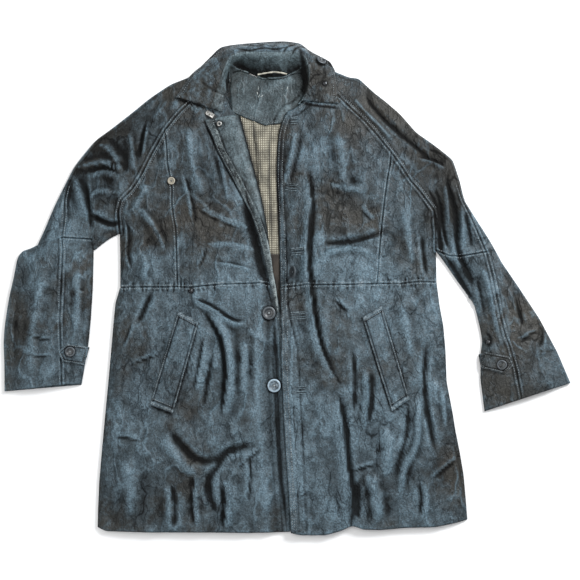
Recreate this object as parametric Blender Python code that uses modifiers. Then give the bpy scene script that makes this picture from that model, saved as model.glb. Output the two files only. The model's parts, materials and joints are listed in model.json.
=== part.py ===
"""Worn leather coat, laid flat on its back with the front open at the neck.

The coat lies in the X-Y plane, front up: +X to the wearer's left, +Y towards the collar, +Z away from the
surface it lies on. Lines and heights are written in millimetres and become metres in the meshes.
Each piece that a maker would cut is one solid, a leather wall of its own, 0.3 mm from its neighbours.
"""
import bpy
import bmesh
from math import atan2, cos, exp, pi, radians, sin
from mathutils import Euler, Vector
from mathutils.bvhtree import BVHTree

MM = 0.001

# Walls and gaps, in millimetres
WALL = 2.0                  # leather with its backing
LINING_WALL = 1.5
COLLAR_WALL = 3.0           # two leathers and the interlining, measured straight down
SEAM_GAP = 0.3
LAYER_GAP = 0.35

# How high the front lies above the surface, in millimetres
BACK_TOP = WALL             # the back panels lie flat on the surface
SIDE_EDGE = 4.6             # top of the front at a side seam, just over the back
LOFT = 14.0                 # top of the front away from its edges
LOFT_REACH = 30.0           # how far from an edge the loft takes to build up
SLEEVE_FOLD = 6.2           # thickness of the sleeve at its folded outer edge
OPENING_TOP = 6.9           # top of a front along the open neck
EDGE_QUIET = 24.0           # the folds fade out within this distance of a closed edge
FOLD_FADE = 0.2             # share of a fold's length over which it fades in
FOLD_END = 0.15
OVERLAP_TOP = 7.2           # top of the right front where the left front's edge lies on it
OVERLAP_REACH = 24.0
OVERLAP_SLOPE = 0.35
FOLD_ANGLES = [radians(90 - 45 * step) for step in range(5)]  # round the sleeve's fold
CREASE_ANGLE = radians(70)  # edges sharper than this are shaded as edges
TURN_STEPS = 18             # sides of a round piece

# Seams and edges of the coat, each with the number of stretches it is divided into
LINES = {
    "raglan_right_upper": ([(-118, 380), (-151, 361), (-185, 332), (-207, 308), (-227, 281)], 8),
    "raglan_right_lower": ([(-227, 281), (-251, 235), (-272, 191), (-288, 166), (-307, 147),
                            (-312, 121)], 8),
    "panel_right": ([(-227, 281), (-223, 249), (-221, 216), (-212, 172), (-212, 140), (-204, 93),
                     (-199, -14)], 13),
    "web_right": ([(-312, 121), (-308, 87)], 3),
    "side_right_upper": ([(-308, 87), (-306, 37), (-305, -14)], 10),
    "waist_right_side": ([(-305, -14), (-250, -14), (-199, -14)], 8),
    "waist_right_chest": ([(-199, -14), (-177, -15), (-131, -10), (-85, -8), (-45, -6), (-21, -10)], 9),
    "neck_right": ([(-118, 380), (-114, 345), (-104, 322), (-90, 308)], 9),
    "roll_right": ([(-90, 308), (-75, 254), (-59, 197), (-48, 149), (-39, 102), (-33, 55),
                    (-27, 18), (-21, -10)], 21),
    "front_right_lower": ([(-21, -10), (-13, -41), (-4, -84), (7, -129), (12, -220), (17, -327),
                           (23, -453)], 22),
    "side_right_lower": ([(-305, -14), (-313, -41), (-316, -78), (-320, -144), (-324, -202), (-328, -256),
                          (-332, -316), (-335, -362), (-336, -415), (-336, -445)], 22),
    "hem_right": ([(-336, -445), (-322, -452), (-242, -454), (-135, -454), (-64, -455), (23, -453)], 17),

    "raglan_left_upper": ([(48, 376), (71, 367), (95, 351), (119, 326), (147, 299), (171, 270),
                           (195, 239)], 10),
    "raglan_left_lower": ([(195, 239), (212, 214), (230, 185), (248, 163), (274, 127)], 7),
    "panel_left": ([(195, 239), (193, 216), (187, 187), (183, 159), (177, 112), (171, 55), (166, -8)], 12),
    "web_left": ([(274, 127), (276, 55)], 6),
    "side_left_upper": ([(276, 55), (276, -4)], 6),
    "waist_left_chest": ([(-12, -14), (40, -10), (98, -10), (166, -8)], 9),
    "waist_left_side": ([(166, -8), (208, -8), (245, -4), (276, -4)], 7),
    "neck_left": ([(3, 320), (18, 326), (31, 337), (41, 353), (48, 376)], 9),
    "front_left_upper": ([(3, 320), (-5, 310), (-10, 297), (-16, 274), (-18, 235), (-19, 187), (-17, 149),
                          (-15, 102), (-13, 55), (-12, -14)], 22),
    "front_left_lower": ([(-12, -14), (-9, -93), (-10, -148), (-6, -238), (-2, -309), (3, -380),
                          (8, -455)], 22),
    "side_left_lower": ([(276, -4), (281, -49), (287, -85), (290, -129), (291, -187), (301, -245),
                         (305, -274), (312, -313), (318, -353), (321, -397), (323, -432)], 22),
    "hem_left": ([(8, -455), (24, -459), (69, -459), (96, -452), (117, -442), (135, -449), (167, -450),
                  (211, -446), (265, -445), (300, -438), (323, -432)], 16),

    "fold_right_upper": ([(-137, 420), (-182, 388), (-219, 373), (-256, 347), (-292, 316), (-330, 285),
                          (-358, 264), (-385, 229), (-397, 212), (-410, 184), (-431, 138), (-448, 93),
                          (-460, 65)], 19),
    "overarm_right_upper": ([(-134, 415), (-180, 382), (-216, 368), (-254, 342), (-288, 311), (-326, 280),
                             (-354, 259), (-380, 226), (-393, 208), (-406, 180), (-412, 149), (-410, 117),
                             (-414, 78)], 19),
    "shoulder_end_right": ([(-134, 415), (-127, 398), (-118, 380)], 8),
    "elbow_right": ([(-414, 78), (-360, 76)], 3),
    "web_edge_right": ([(-360, 76), (-356, 53), (-340, 67), (-324, 79), (-308, 87)], 5),
    "overarm_right_lower": ([(-414, 78), (-411, 55), (-412, -1), (-413, -74), (-409, -138),
                             (-406, -193)], 14),
    "inner_right": ([(-360, 76), (-356, 53), (-356, -19), (-358, -71), (-361, -115), (-367, -158),
                     (-372, -192)], 14),
    "fold_right_lower": ([(-460, 65), (-476, 57), (-487, 55), (-496, 42), (-502, 3), (-508, -27),
                          (-512, -56), (-515, -85), (-516, -115), (-513, -157), (-511, -204)], 14),
    "cuff_right": ([(-406, -193), (-372, -192)], 3),

    "fold_left_upper": ([(60, 412), (92, 398), (120, 386), (135, 386), (165, 357), (185, 341), (213, 316),
                         (244, 279), (268, 262), (287, 247), (311, 227), (323, 187), (331, 149), (353, 112),
                         (376, 74), (386, 55)], 23),
    "overarm_left_upper": ([(58, 406), (90, 392), (118, 380), (133, 379), (161, 352), (181, 336), (209, 311),
                            (240, 275), (264, 257), (283, 242), (306, 223), (317, 185), (326, 153),
                            (340, 123), (352, 93), (368, 52)], 23),
    "shoulder_end_left": ([(58, 406), (48, 376)], 6),
    "elbow_left": ([(368, 52), (347, 48), (325, 44), (301, 44), (276, 55)], 6),
    "overarm_left_lower": ([(368, 52), (378, 9), (384, -28), (390, -65), (398, -102), (407, -129),
                            (415, -162), (424, -218)], 16),
    "inner_left": ([(276, 55), (292, 33), (315, -2), (333, -28), (345, -45), (355, -91), (358, -113),
                    (354, -137), (353, -184), (359, -240)], 16),
    "fold_left_lower": ([(386, 55), (397, 33), (428, -15), (463, -71), (494, -133), (516, -189)], 16),
    "cuff_left": ([(424, -218), (359, -240)], 6),
}

# Edges where the coat is closed, so the front comes down on the back there
CLOSED_EDGES = ("side_right_upper", "side_right_lower", "side_left_upper", "side_left_lower", "inner_right",
                "inner_left", "web_edge_right")
FOLDED_EDGES = ("fold_right_upper", "fold_right_lower", "fold_left_upper", "fold_left_lower")
OPENING_EDGES = ("roll_right", "front_left_upper")

# Folds of the leather: points along the crest or the bottom, height, reach to its left and to its right
FOLDS = [
    # right front skirt
    ([(-165, -41), (-140, -52), (-107, -71), (-72, -76)], -7.5, 14, 14),
    ([(-158, -58), (-130, -71), (-99, -93), (-66, -96)], 10.0, 17, 17),
    ([(-149, -60), (-130, -84), (-112, -120), (-107, -175), (-112, -238)], -9.0, 14, 14),
    ([(-114, -93), (-95, -133), (-91, -193), (-101, -265)], 16.0, 17, 26),
    ([(-54, -84), (-48, -148), (-51, -229)], 6.5, 14, 14),
    ([(-228, -247), (-205, -288), (-173, -322), (-142, -336), (-105, -313), (-44, -304)], -9.0, 14, 14),
    ([(-246, -252), (-227, -300), (-190, -341), (-145, -359), (-92, -336)], 12.0, 17, 22),
    ([(-108, -318), (-140, -366), (-132, -406), (-114, -450)], -9.0, 14, 14),
    ([(-97, -345), (-106, -397), (-96, -450)], 15.0, 17, 24),
    ([(-293, -129), (-248, -138), (-224, -133)], -5.5, 14, 14),
    ([(-314, -281), (-285, -288), (-252, -291)], 6.5, 14, 14),
    ([(-295, -318), (-283, -380), (-285, -446)], 12.0, 26, 26),
    ([(-212, -362), (-204, -406), (-207, -450)], 10.0, 24, 24),
    # right front above the waist
    ([(-181, 303), (-169, 226), (-160, 140), (-148, 55)], 6.5, 26, 26),
    ([(-108, 159), (-89, 102), (-74, 46), (-56, -1)], -6.5, 14, 14),
    ([(-254, 197), (-271, 140), (-283, 65), (-283, -1)], 10.0, 26, 24),
    # left front
    ([(46, 149), (45, 93), (40, 55), (40, 3), (49, -56), (61, -120), (83, -166), (106, -202)], -9.0, 14, 14),
    ([(23, 149), (23, 74), (20, -1), (30, -65), (43, -129), (65, -180)], 14.0, 17, 17),
    ([(66, 140), (66, 65), (60, -1), (71, -56), (85, -111), (108, -162), (130, -198)], 20.0, 17, 30),
    ([(94, -205), (100, -265), (107, -318), (114, -380), (119, -439)], -9.0, 14, 14),
    ([(72, -211), (77, -274), (80, -345), (83, -450)], 18.0, 26, 17),
    ([(119, -211), (129, -274), (143, -345), (156, -446)], 18.0, 17, 26),
    ([(59, 184), (44, 165), (25, 142), (7, 127)], 10.0, 17, 17),
    ([(58, 44), (108, 59), (150, 55)], 10.0, 18, 18),
    ([(230, -38), (242, -111), (246, -184), (248, -274), (240, -345)], -9.0, 14, 14),
    ([(213, -211), (226, -265), (219, -309), (205, -362), (201, -424)], 15.0, 18, 17),
    ([(270, -38), (276, -120), (280, -193), (286, -265)], 15.0, 20, 17),
    ([(257, -341), (284, -355), (308, -330)], -7.5, 14, 14),
    ([(211, 140), (219, 83), (227, 27)], 10.0, 26, 22),
    # right sleeve
    ([(-395, 208), (-369, 210), (-344, 218), (-325, 212), (-308, 195)], 14.0, 17, 17),
    ([(-376, 191), (-347, 199), (-321, 195), (-309, 180)], -7.5, 14, 14),
    ([(-399, 203), (-387, 165), (-377, 127), (-366, 82)], 18.0, 22, 17),
    ([(-380, 191), (-366, 153), (-360, 119), (-357, 82)], -8.5, 14, 14),
    ([(-363, 123), (-348, 112), (-326, 102), (-308, 108)], -7.5, 14, 14),
    ([(-259, 306), (-268, 264), (-273, 226)], 12.0, 22, 17),
    ([(-334, 268), (-325, 241), (-308, 214), (-302, 187)], 12.0, 20, 17),
    ([(-439, 52), (-444, -19), (-456, -93), (-461, -184)], 12.0, 30, 26),
    ([(-387, 33), (-383, -38), (-386, -120)], 12.0, 18, 17),
    # left sleeve
    ([(272, 176), (284, 130), (289, 93), (305, 48)], -8.5, 14, 14),
    ([(296, 172), (303, 140), (312, 97), (320, 52)], 16.0, 17, 17),
    ([(308, 218), (302, 176), (312, 130), (315, 74), (330, 29), (342, -34)], -7.5, 14, 14),
    ([(329, 149), (332, 93), (345, 33), (358, -38), (371, -102)], 16.0, 17, 20),
    ([(146, 365), (172, 322), (213, 281), (259, 239), (290, 201)], -9.0, 16, 14),
    ([(172, 357), (204, 310), (250, 262), (298, 229)], 12.0, 17, 17),
    ([(123, 345), (153, 306), (197, 260), (245, 210)], 12.0, 17, 17),
    ([(410, -8), (424, -41), (437, -93)], -7.5, 14, 14),
    ([(432, -1), (449, -47), (464, -89)], 11.0, 17, 17),
    ([(411, -107), (429, -113), (452, -93), (471, -111), (463, -148)], 12.0, 17, 17),
]

POCKET_RIGHT = [(-196, -58), (-159, -78), (-204, -245), (-246, -229)]
POCKET_LEFT = [(138, -69), (173, -49), (222, -220), (190, -241)]
TAB_RIGHT = [(-414, -133), (-398, -118), (-359, -124), (-366, -157), (-405, -151)]
TAB_LEFT = [(350, -137), (361, -133), (403, -142), (411, -158), (395, -173), (353, -162)]

LAPEL = {
    "outer": ([(-153, 299), (-139, 270), (-130, 245), (-112, 210), (-96, 182), (-80, 151), (-65, 121),
               (-56, 97), (-49, 74), (-43, 52), (-34, 9), (-28, -14), (-22, -41), (-18, -60)], 18),
    "roll": ([(-87, 312), (-72, 254), (-57, 197), (-45, 149), (-36, 102), (-30, 55), (-25, 18), (-18, -19),
              (-14, -62)], 18),
}
COLLAR = {
    "base": ([(-121, 316), (-115, 345), (-110, 373), (-103, 394), (-82, 400), (-61, 392), (-46, 384),
              (-25, 382), (-5, 384), (10, 392), (27, 394), (35, 374), (31, 353), (20, 332)], 24),
    "roll": ([(-142, 322), (-129, 357), (-118, 392), (-105, 418), (-88, 425), (-69, 426), (-46, 425),
              (-22, 425), (1, 426), (22, 428), (37, 418), (44, 392), (42, 365), (31, 337)], 24),
    "outer": ([(-209, 345), (-182, 388), (-163, 408), (-141, 431), (-126, 447), (-107, 451), (-82, 454),
               (-56, 456), (-29, 458), (-3, 459), (26, 455), (45, 439), (84, 418), (92, 398), (95, 367),
               (97, 332)], 24),
}
FACING = {
    "left": ([(-105, 404), (-106, 361), (-102, 318)], 5),
    "right": ([(31, 402), (39, 357), (22, 301)], 5),
    "top": ([(-105, 404), (-78, 396), (-46, 382), (-5, 384), (31, 402)], 8),
    "bottom": ([(-102, 318), (-87, 312), (-68, 304), (-40, 293), (-10, 297), (22, 301)], 8),
}
LINING = {
    "left": ([(-102, 318), (-86, 226), (-62, 121), (-50, 48)], 8),
    "right": ([(22, 301), (7, 226), (3, 121), (3, 48)], 8),
    "bottom": ([(-50, 48), (-25, 48), (3, 48)], 8),
}
LINING_LOWER = {
    "left": ([(-50, 48), (-34, -10), (-26, -71)], 5),
    "right": ([(3, 48), (7, -10), (7, -71)], 5),
    "bottom": ([(-26, -71), (7, -71)], 8),
}
NECK_BACK = [(-110, 408), (-78, 404), (-46, 396), (-5, 398), (31, 408)]
LOOP = [(-54, 390), (-40, 393), (-23, 395), (-10, 395), (1, 392)]
NECK_HOOK = [(-146, 318), (-133, 311), (-142, 306), (-153, 313)]

HEM_BACK = [(324, -429), (202, -439), (105, -438), (7, -448), (-189, -450), (-336, -441)]
SLEEVE_UNDER = {
    "right": ([(-460, 65), (-360, 77), (-308, 87)], 2),
    "left": ([(386, 55), (331, 52), (276, 55)], 2),
}
SLEEVE_UNDER_LOWER = {
    "right": ([(-460, 65), (-410, 70), (-360, 76)], 2),
    "left": ([(386, 55), (331, 52), (276, 55)], 2),
}

PLACES = {
    "front_button_1": (-32, -62), "front_button_2": (-22, -194), "chest_button": (-213, 184),
    "collar_button": (65, 413), "right_cuff_button": (-392, -133), "left_cuff_button": (390, -157),
    "placket_button": (13, 12), "waist_snap": (-174, -21), "collar_snap": (72, 369),
    "cuff_snap": (367, -115), "lapel_ring": (-125, 292),
}

TAB_WALL = 2.4
HOOK_WALL = 1.2
LOOP_RADIUS = 1.4
LOOP_ARCH = 4.0
ROLL_FRONT = 16.0           # height of the collar's roll at its front ends
ROLL_BACK = 36.0            # and at the back neck
# Across the lapel from its outer edge to the roll: share of the width, lift off the chest
LAPEL_LIFT = [(0.0, 1.2), (0.25, 3.5), (0.5, 5.0), (0.75, 6.0), (0.9, 4.5), (1.0, 1.0)]

# Profiles of the round pieces from the middle of the top to the middle of the underside: radius, height
COAT_BUTTON = [(0, 2.6), (7.5, 2.6), (9.0, 3.8), (11.0, 3.8), (12.0, 2.4), (9.0, 0), (0, 0)]
TAB_BUTTON = [(0, 2.2), (5.6, 2.2), (6.8, 3.2), (8.2, 3.2), (9.0, 2.0), (7.0, 0), (0, 0)]
CHEST_BUTTON = [(0, 2.4), (4.6, 2.4), (6.2, 2.8), (7.0, 1.6), (5.5, 0), (0, 0)]
SNAP = [(0, 1.8), (2.6, 1.8), (3.8, 1.0), (3.8, 0), (0, 0)]
RING = [(1.9, 1.2), (2.8, 1.9), (4.4, 1.9), (5.3, 0.9), (5.3, 0), (1.9, 0)]

COLOURS = {
    "leather": ((0.045, 0.050, 0.056, 1.0), 0.5, 0.0),
    "lapel leather": ((0.065, 0.072, 0.078, 1.0), 0.5, 0.0),
    "check lining": ((0.33, 0.27, 0.17, 1.0), 0.85, 0.0),
    "brown lining": ((0.055, 0.042, 0.030, 1.0), 0.8, 0.0),
    "loop tape": ((0.62, 0.58, 0.48, 1.0), 0.8, 0.0),
    "button": ((0.030, 0.034, 0.040, 1.0), 0.35, 0.0),
    "metal": ((0.55, 0.53, 0.48, 1.0), 0.35, 1.0),
}

for leftover in list(bpy.data.objects):
    bpy.data.objects.remove(leftover, do_unlink=True)

coat = bpy.data.collections.new("worn_leather_coat")
bpy.context.scene.collection.children.link(coat)


def material(name):
    """The plain material of a piece, made on its first use."""
    if name in bpy.data.materials:
        return bpy.data.materials[name]
    colour, roughness, metallic = COLOURS[name]
    made = bpy.data.materials.new(name)
    made.use_nodes = True
    principled = made.node_tree.nodes["Principled BSDF"]
    principled.inputs["Base Color"].default_value = colour
    principled.inputs["Roughness"].default_value = roughness
    principled.inputs["Metallic"].default_value = metallic
    made.diffuse_color = colour
    return made


closed_edges, folded_edges, opening_edges = [], [], []
overlap_edge, folds = [], []
faces = {}
trees = {}

# Lines in the plan

def divide(points, count):
    """Divides a line into equal stretches, then draws the nearest division to each bend of the line."""
    points = [Vector(point) for point in points]
    reach = [0.0]
    for a, b in zip(points, points[1:]):
        reach.append(reach[-1] + (b - a).length)
    step = reach[-1] / count
    places = [k * step for k in range(count + 1)]
    taken = {0, count}
    for bend in reach[1:-1]:
        nearest = round(bend / step)
        if nearest not in taken:
            places[nearest] = bend
            taken.add(nearest)
    divided = []
    for place in places:
        k = 0
        while k < len(points) - 2 and place > reach[k + 1]:
            k += 1
        share = (place - reach[k]) / (reach[k + 1] - reach[k])
        divided.append(points[k].lerp(points[k + 1], share))
    return divided


def line(*names):
    """One or more named lines joined end to end; a leading minus runs a line backwards."""
    joined = []
    for name in names:
        points = divide(*LINES[name.lstrip("-")])
        if name.startswith("-"):
            points.reverse()
        joined += points[1:] if joined else points
    return joined


def distance(point, points):
    """The shortest way in the plan from a point to a line."""
    nearest = 1e9
    for a, b in zip(points, points[1:]):
        along = b - a
        share = max(0.0, min(1.0, (point - a).dot(along) / along.length_squared))
        nearest = min(nearest, (point - a - along * share).length)
    return nearest


def along_and_across(point, points):
    """How far a point lies beside a line (left is plus), and where along it, from 0 to 1."""
    best = (1e9, 0.0, 0.0)
    total = sum((b - a).length for a, b in zip(points, points[1:]))
    passed = 0.0
    for a, b in zip(points, points[1:]):
        way = b - a
        share = max(0.0, min(1.0, (point - a).dot(way) / way.length_squared))
        beside = point - a - way * share
        if beside.length < best[0]:
            turn = way.x * beside.y - way.y * beside.x
            best = (beside.length, 1.0 if turn > 0 else -1.0, (passed + share * way.length) / total)
        passed += way.length
    return best[0] * best[1], best[2]


# The height of the leather's face over the surface

def loft(point):
    """The smooth height of the front: low at its closed edges, full in the middle, low at the open neck."""
    closed = min(distance(point, edge) for edge in closed_edges)
    folded = min(distance(point, edge) for edge in folded_edges)
    from_closed = SIDE_EDGE + (LOFT - SIDE_EDGE) * (1 - exp(-closed / LOFT_REACH))
    past_fold = max(0.0, folded - SLEEVE_FOLD / 2)
    from_folded = SLEEVE_FOLD + (LOFT - SLEEVE_FOLD) * (1 - exp(-past_fold / LOFT_REACH))
    opening = min(distance(point, edge) for edge in opening_edges)
    from_opening = OPENING_TOP + (LOFT - OPENING_TOP) * (1 - exp(-opening / LOFT_REACH))
    return min(from_closed, from_folded, from_opening)


def fold_height(point):
    """The sum of the folds at a point, each a smooth ridge or valley that fades out at its ends."""
    total = 0.0
    for points, rise, left, right in folds:
        beside, place = along_and_across(point, points)
        reach = left if beside > 0 else right
        share = abs(beside) / reach
        if share < 1.0:
            end = min(1.0, place / FOLD_FADE, (1.0 - place) / FOLD_FADE)
            total += rise * (1 - share * share) ** 2 * max(FOLD_END, end)
    return total


def height(point):
    """The top of the front or sleeve at a point, clear of what lies under it."""
    closed = min(distance(point, edge) for edge in closed_edges + folded_edges)
    opening = min(distance(point, edge) for edge in opening_edges)
    quiet = min(1.0, closed / EDGE_QUIET)
    lowest = OPENING_TOP if opening < 2 * LOFT_REACH else SIDE_EDGE
    return max(lowest, loft(point) + fold_height(point) * quiet)


def height_under_overlap(point):
    """The right front's top: it stays low where the left front's edge lies on it."""
    beside = distance(point, overlap_edge)
    return min(height(point), OVERLAP_TOP + max(0.0, beside - OVERLAP_REACH) * OVERLAP_SLOPE)


def height_over_overlap(point):
    """The left front's top: near its edge it clears the right front under it."""
    beside = distance(point, overlap_edge)
    if beside < OVERLAP_REACH:
        return max(height(point), OVERLAP_TOP + WALL + LAYER_GAP)
    return height(point)


# Making the walls

def mitre(before, here, after, side):
    """The way in the plan that moves two stretches of an edge one unit to their side."""
    ways = [way.normalized() for way in (here - before, after - here) if way.length > 1e-6]
    normals = [Vector((-way.y, way.x)) * side for way in ways]
    if len(normals) == 1:
        return normals[0]
    return (normals[0] + normals[1]) / max(0.3, 1 + normals[0].dot(normals[1]))


def turning(ring):
    """1 for a ring that runs anticlockwise in the plan, else -1."""
    area = sum(a.x * b.y - a.y * b.x for a, b in zip(ring, ring[1:] + ring[:1]))
    return 1.0 if area > 0 else -1.0


def pull_in(ring, gap=SEAM_GAP / 2):
    """A closed ring of plan points, moved inwards by the gap."""
    side = turning(ring)
    count = len(ring)
    return [ring[k] + mitre(ring[k - 1], ring[k], ring[(k + 1) % count], side) * gap for k in range(count)]


def patch_plan(left, right, start, end):
    """Rows of plan points between four edges. Left and right run from the start edge to the end edge."""
    columns, rows = len(start) - 1, len(left) - 1
    if len(end) - 1 != columns or len(right) - 1 != rows:
        raise ValueError("opposite edges differ: %d %d %d %d" % (columns, len(end) - 1, rows, len(right) - 1))
    plan = []
    for j in range(rows + 1):
        v = j / rows
        row = []
        for i in range(columns + 1):
            u = i / columns
            across = left[j] * (1 - u) + right[j] * u
            down = start[i] * (1 - v) + end[i] * v
            corners = (start[0] * (1 - u) + start[-1] * u) * (1 - v) + (end[0] * (1 - u) + end[-1] * u) * v
            row.append(across + down - corners)
        plan.append(row)
    ring = [(0, i) for i in range(columns)] + [(j, columns) for j in range(rows)]
    ring += [(rows, i) for i in range(columns, 0, -1)] + [(j, 0) for j in range(rows, 0, -1)]
    moved = pull_in([plan[j][i] for j, i in ring])
    for (j, i), point in zip(ring, moved):
        plan[j][i] = point
    return plan


def finish_piece(name, bm, material_name):
    """Turns a closed bmesh in millimetres into a named object in metres."""
    bmesh.ops.recalc_face_normals(bm, faces=bm.faces[:])
    bmesh.ops.scale(bm, vec=(MM, MM, MM), verts=bm.verts[:])
    mesh = bpy.data.meshes.new(name)
    bm.to_mesh(mesh)
    bm.free()
    mesh.shade_smooth()
    mesh.set_sharp_from_angle(angle=CREASE_ANGLE)
    mesh.materials.append(material(material_name))
    piece = bpy.data.objects.new(name, mesh)
    coat.objects.link(piece)
    return piece


def wall(name, outer, inner, material_name="leather"):
    """A wall between two grids of points, the outer and the inner face of the cloth."""
    rows, columns = len(outer) - 1, len(outer[0]) - 1
    bm = bmesh.new()
    cell = bm.verts.layers.int.new("cell")
    bmesh.ops.create_grid(bm, x_segments=columns, y_segments=rows, size=0.5)
    for vert in bm.verts:
        j, i = round((vert.co.y + 0.5) * rows), round((vert.co.x + 0.5) * columns)
        vert[cell] = j * (columns + 1) + i
        vert.co = outer[j][i]
    bmesh.ops.triangulate(bm, faces=bm.faces[:], quad_method="BEAUTY")
    bm.verts.index_update()
    faces[name] = ([vert.co.copy() for vert in bm.verts],
                   [[vert.index for vert in face.verts] for face in bm.faces])
    grown = bmesh.ops.extrude_face_region(bm, geom=bm.faces[:])
    for item in grown["geom"]:
        if isinstance(item, bmesh.types.BMVert):
            j, i = divmod(item[cell], columns + 1)
            item.co = inner[j][i]
    return finish_piece(name, bm, material_name)


def panel(name, left, right, start, end, top, thickness=WALL, material_name="leather"):
    """A cut piece between four edges, with its upper face at the height that top gives."""
    plan = patch_plan(left, right, start, end)
    outer = [[Vector((point.x, point.y, top(point))) for point in row] for row in plan]
    inner = [[point - Vector((0, 0, thickness)) for point in row] for row in outer]
    return wall(name, outer, inner, material_name)


def sleeve_back(name, overarm, fold, under, start, end, top_cells):
    """The back half of a sleeve: from its overarm seam round the fold, then flat along the surface.

    Start and end are the lines of its two ends along the surface, from the fold to its under edge.
    """
    rows = len(fold) - 1
    radius = SLEEVE_FOLD / 2
    inward = [(across - edge).normalized() for edge, across in zip(fold, under)]
    inside_fold = [edge + way * radius for edge, way in zip(fold, inward)]
    plan = patch_plan(inside_fold, under, [inside_fold[0]] + start[1:], [inside_fold[-1]] + end[1:])
    side = turning([overarm[0], fold[0], fold[-1], overarm[-1]])
    outer, inner = [], []
    for j in range(rows + 1):
        way = mitre(overarm[max(0, j - 1)], overarm[j], overarm[min(rows, j + 1)], side)
        seam = overarm[j] + way * SEAM_GAP / 2
        if j in (0, rows):
            neighbour = overarm[1] if j == 0 else overarm[rows - 1]
            seam = seam + (neighbour - overarm[j]).normalized() * SEAM_GAP / 2
        crown = plan[j][0]
        row_out, row_in = [], []
        for k in range(top_cells):
            point = seam.lerp(crown, k / top_cells)
            top = max(SLEEVE_FOLD, height(point))
            row_out.append(Vector((point.x, point.y, top)))
            row_in.append(Vector((point.x, point.y, top - WALL)))
        for angle in FOLD_ANGLES:
            for row, size in ((row_out, radius), (row_in, radius - WALL)):
                point = crown - inward[j] * (size * cos(angle))
                row.append(Vector((point.x, point.y, radius + size * sin(angle))))
        for point in plan[j][1:]:
            row_out.append(Vector((point.x, point.y, 0.0)))
            row_in.append(Vector((point.x, point.y, WALL)))
        outer.append(row_out)
        inner.append(row_in)
    return wall(name, outer, inner)


def slab(name, ring, low, high, material_name="leather"):
    """A flat piece: its outline filled, then given its thickness."""
    bm = bmesh.new()
    corners = [bm.verts.new((point.x, point.y, low)) for point in pull_in(ring)]
    bmesh.ops.contextual_create(bm, geom=corners)
    grown = bmesh.ops.extrude_face_region(bm, geom=bm.faces[:])
    upper = [item for item in grown["geom"] if isinstance(item, bmesh.types.BMVert)]
    bmesh.ops.translate(bm, vec=(0, 0, high - low), verts=upper)
    bmesh.ops.triangulate(bm, faces=bm.faces[:])
    return finish_piece(name, bm, material_name)


# What lies on the panels

def rest_height(point, names, reach=0.0):
    """The highest point of the named pieces' faces at a plan point and, with a reach, round it."""
    spots = [point]
    if reach:
        spots += [point + Vector((cos(turn), sin(turn))) * reach for turn in (k * pi / 4 for k in range(8))]
    hits = []
    for name in names:
        for spot in spots:
            hit = trees[name].ray_cast(Vector((spot.x, spot.y, 100.0)), Vector((0, 0, -1)))[0]
            if hit is not None:
                hits.append(hit.z)
    return max(hits, default=None)


def find_faces(*names):
    """Makes the named pieces' faces ready for rest_height."""
    for name in names:
        trees[name] = BVHTree.FromPolygons(*faces[name])


def applied(name, names, outline, thickness, lift=SEAM_GAP, material_name="leather"):
    """A piece sewn onto panels: their own upper faces inside a convex outline, moved out and thickened."""
    bm = bmesh.new()
    for source in names:
        points, polygons = faces[source]
        made = [bm.verts.new(point) for point in points]
        for polygon in polygons:
            bm.faces.new([made[k] for k in polygon])
    bmesh.ops.remove_doubles(bm, verts=bm.verts[:], dist=2 * SEAM_GAP)
    low = [face for face in bm.faces if abs(face.normal.z) < 0.3 or face.calc_center_median().z < SIDE_EDGE / 2]
    bmesh.ops.delete(bm, geom=low, context="FACES")
    ring = [Vector(point) for point in outline]
    side = turning(ring)
    for a, b in zip(ring, ring[1:] + ring[:1]):
        way = (b - a).normalized()
        out = Vector((way.y, -way.x)) * side
        everything = bm.verts[:] + bm.edges[:] + bm.faces[:]
        bmesh.ops.bisect_plane(bm, geom=everything, plane_co=(a.x, a.y, 0), plane_no=(out.x, out.y, 0),
                               clear_outer=True)
    bmesh.ops.remove_doubles(bm, verts=bm.verts[:], dist=0.05)
    bmesh.ops.triangulate(bm, faces=bm.faces[:])
    bmesh.ops.translate(bm, vec=(0, 0, lift), verts=bm.verts[:])
    bm.verts.index_update()
    upper = [vert.co + Vector((0, 0, thickness)) for vert in bm.verts]
    faces[name] = (upper, [[vert.index for vert in face.verts] for face in bm.faces])
    grown = bmesh.ops.extrude_face_region(bm, geom=bm.faces[:])
    raised = [item for item in grown["geom"] if isinstance(item, bmesh.types.BMVert)]
    bmesh.ops.translate(bm, vec=(0, 0, thickness), verts=raised)
    return finish_piece(name, bm, material_name)


def seat(place, profile, names, tilt):
    """How high a round piece of this profile rests on the panels, and how it leans with them."""
    ground = []
    for radius, rise in profile:
        for turn in (k * pi / 6 for k in range(12)):
            across = radius * cos(turn)
            offset = Vector((across * cos(tilt) + rise * sin(tilt), radius * sin(turn)))
            found = rest_height(place + offset, names)
            if found is not None:
                ground.append((offset, found + across * sin(tilt) - rise * cos(tilt)))
    if tilt:
        return max(found for _, found in ground), Euler((0.0, tilt, 0.0))
    slope_x = sum(offset.x * found for offset, found in ground) / sum(offset.x ** 2 for offset, _ in ground)
    slope_y = sum(offset.y * found for offset, found in ground) / sum(offset.y ** 2 for offset, _ in ground)
    lift = max(found - slope_x * offset.x - slope_y * offset.y for offset, found in ground)
    return lift, Euler((atan2(slope_y, 1.0), -atan2(slope_x, 1.0), 0.0))


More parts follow.
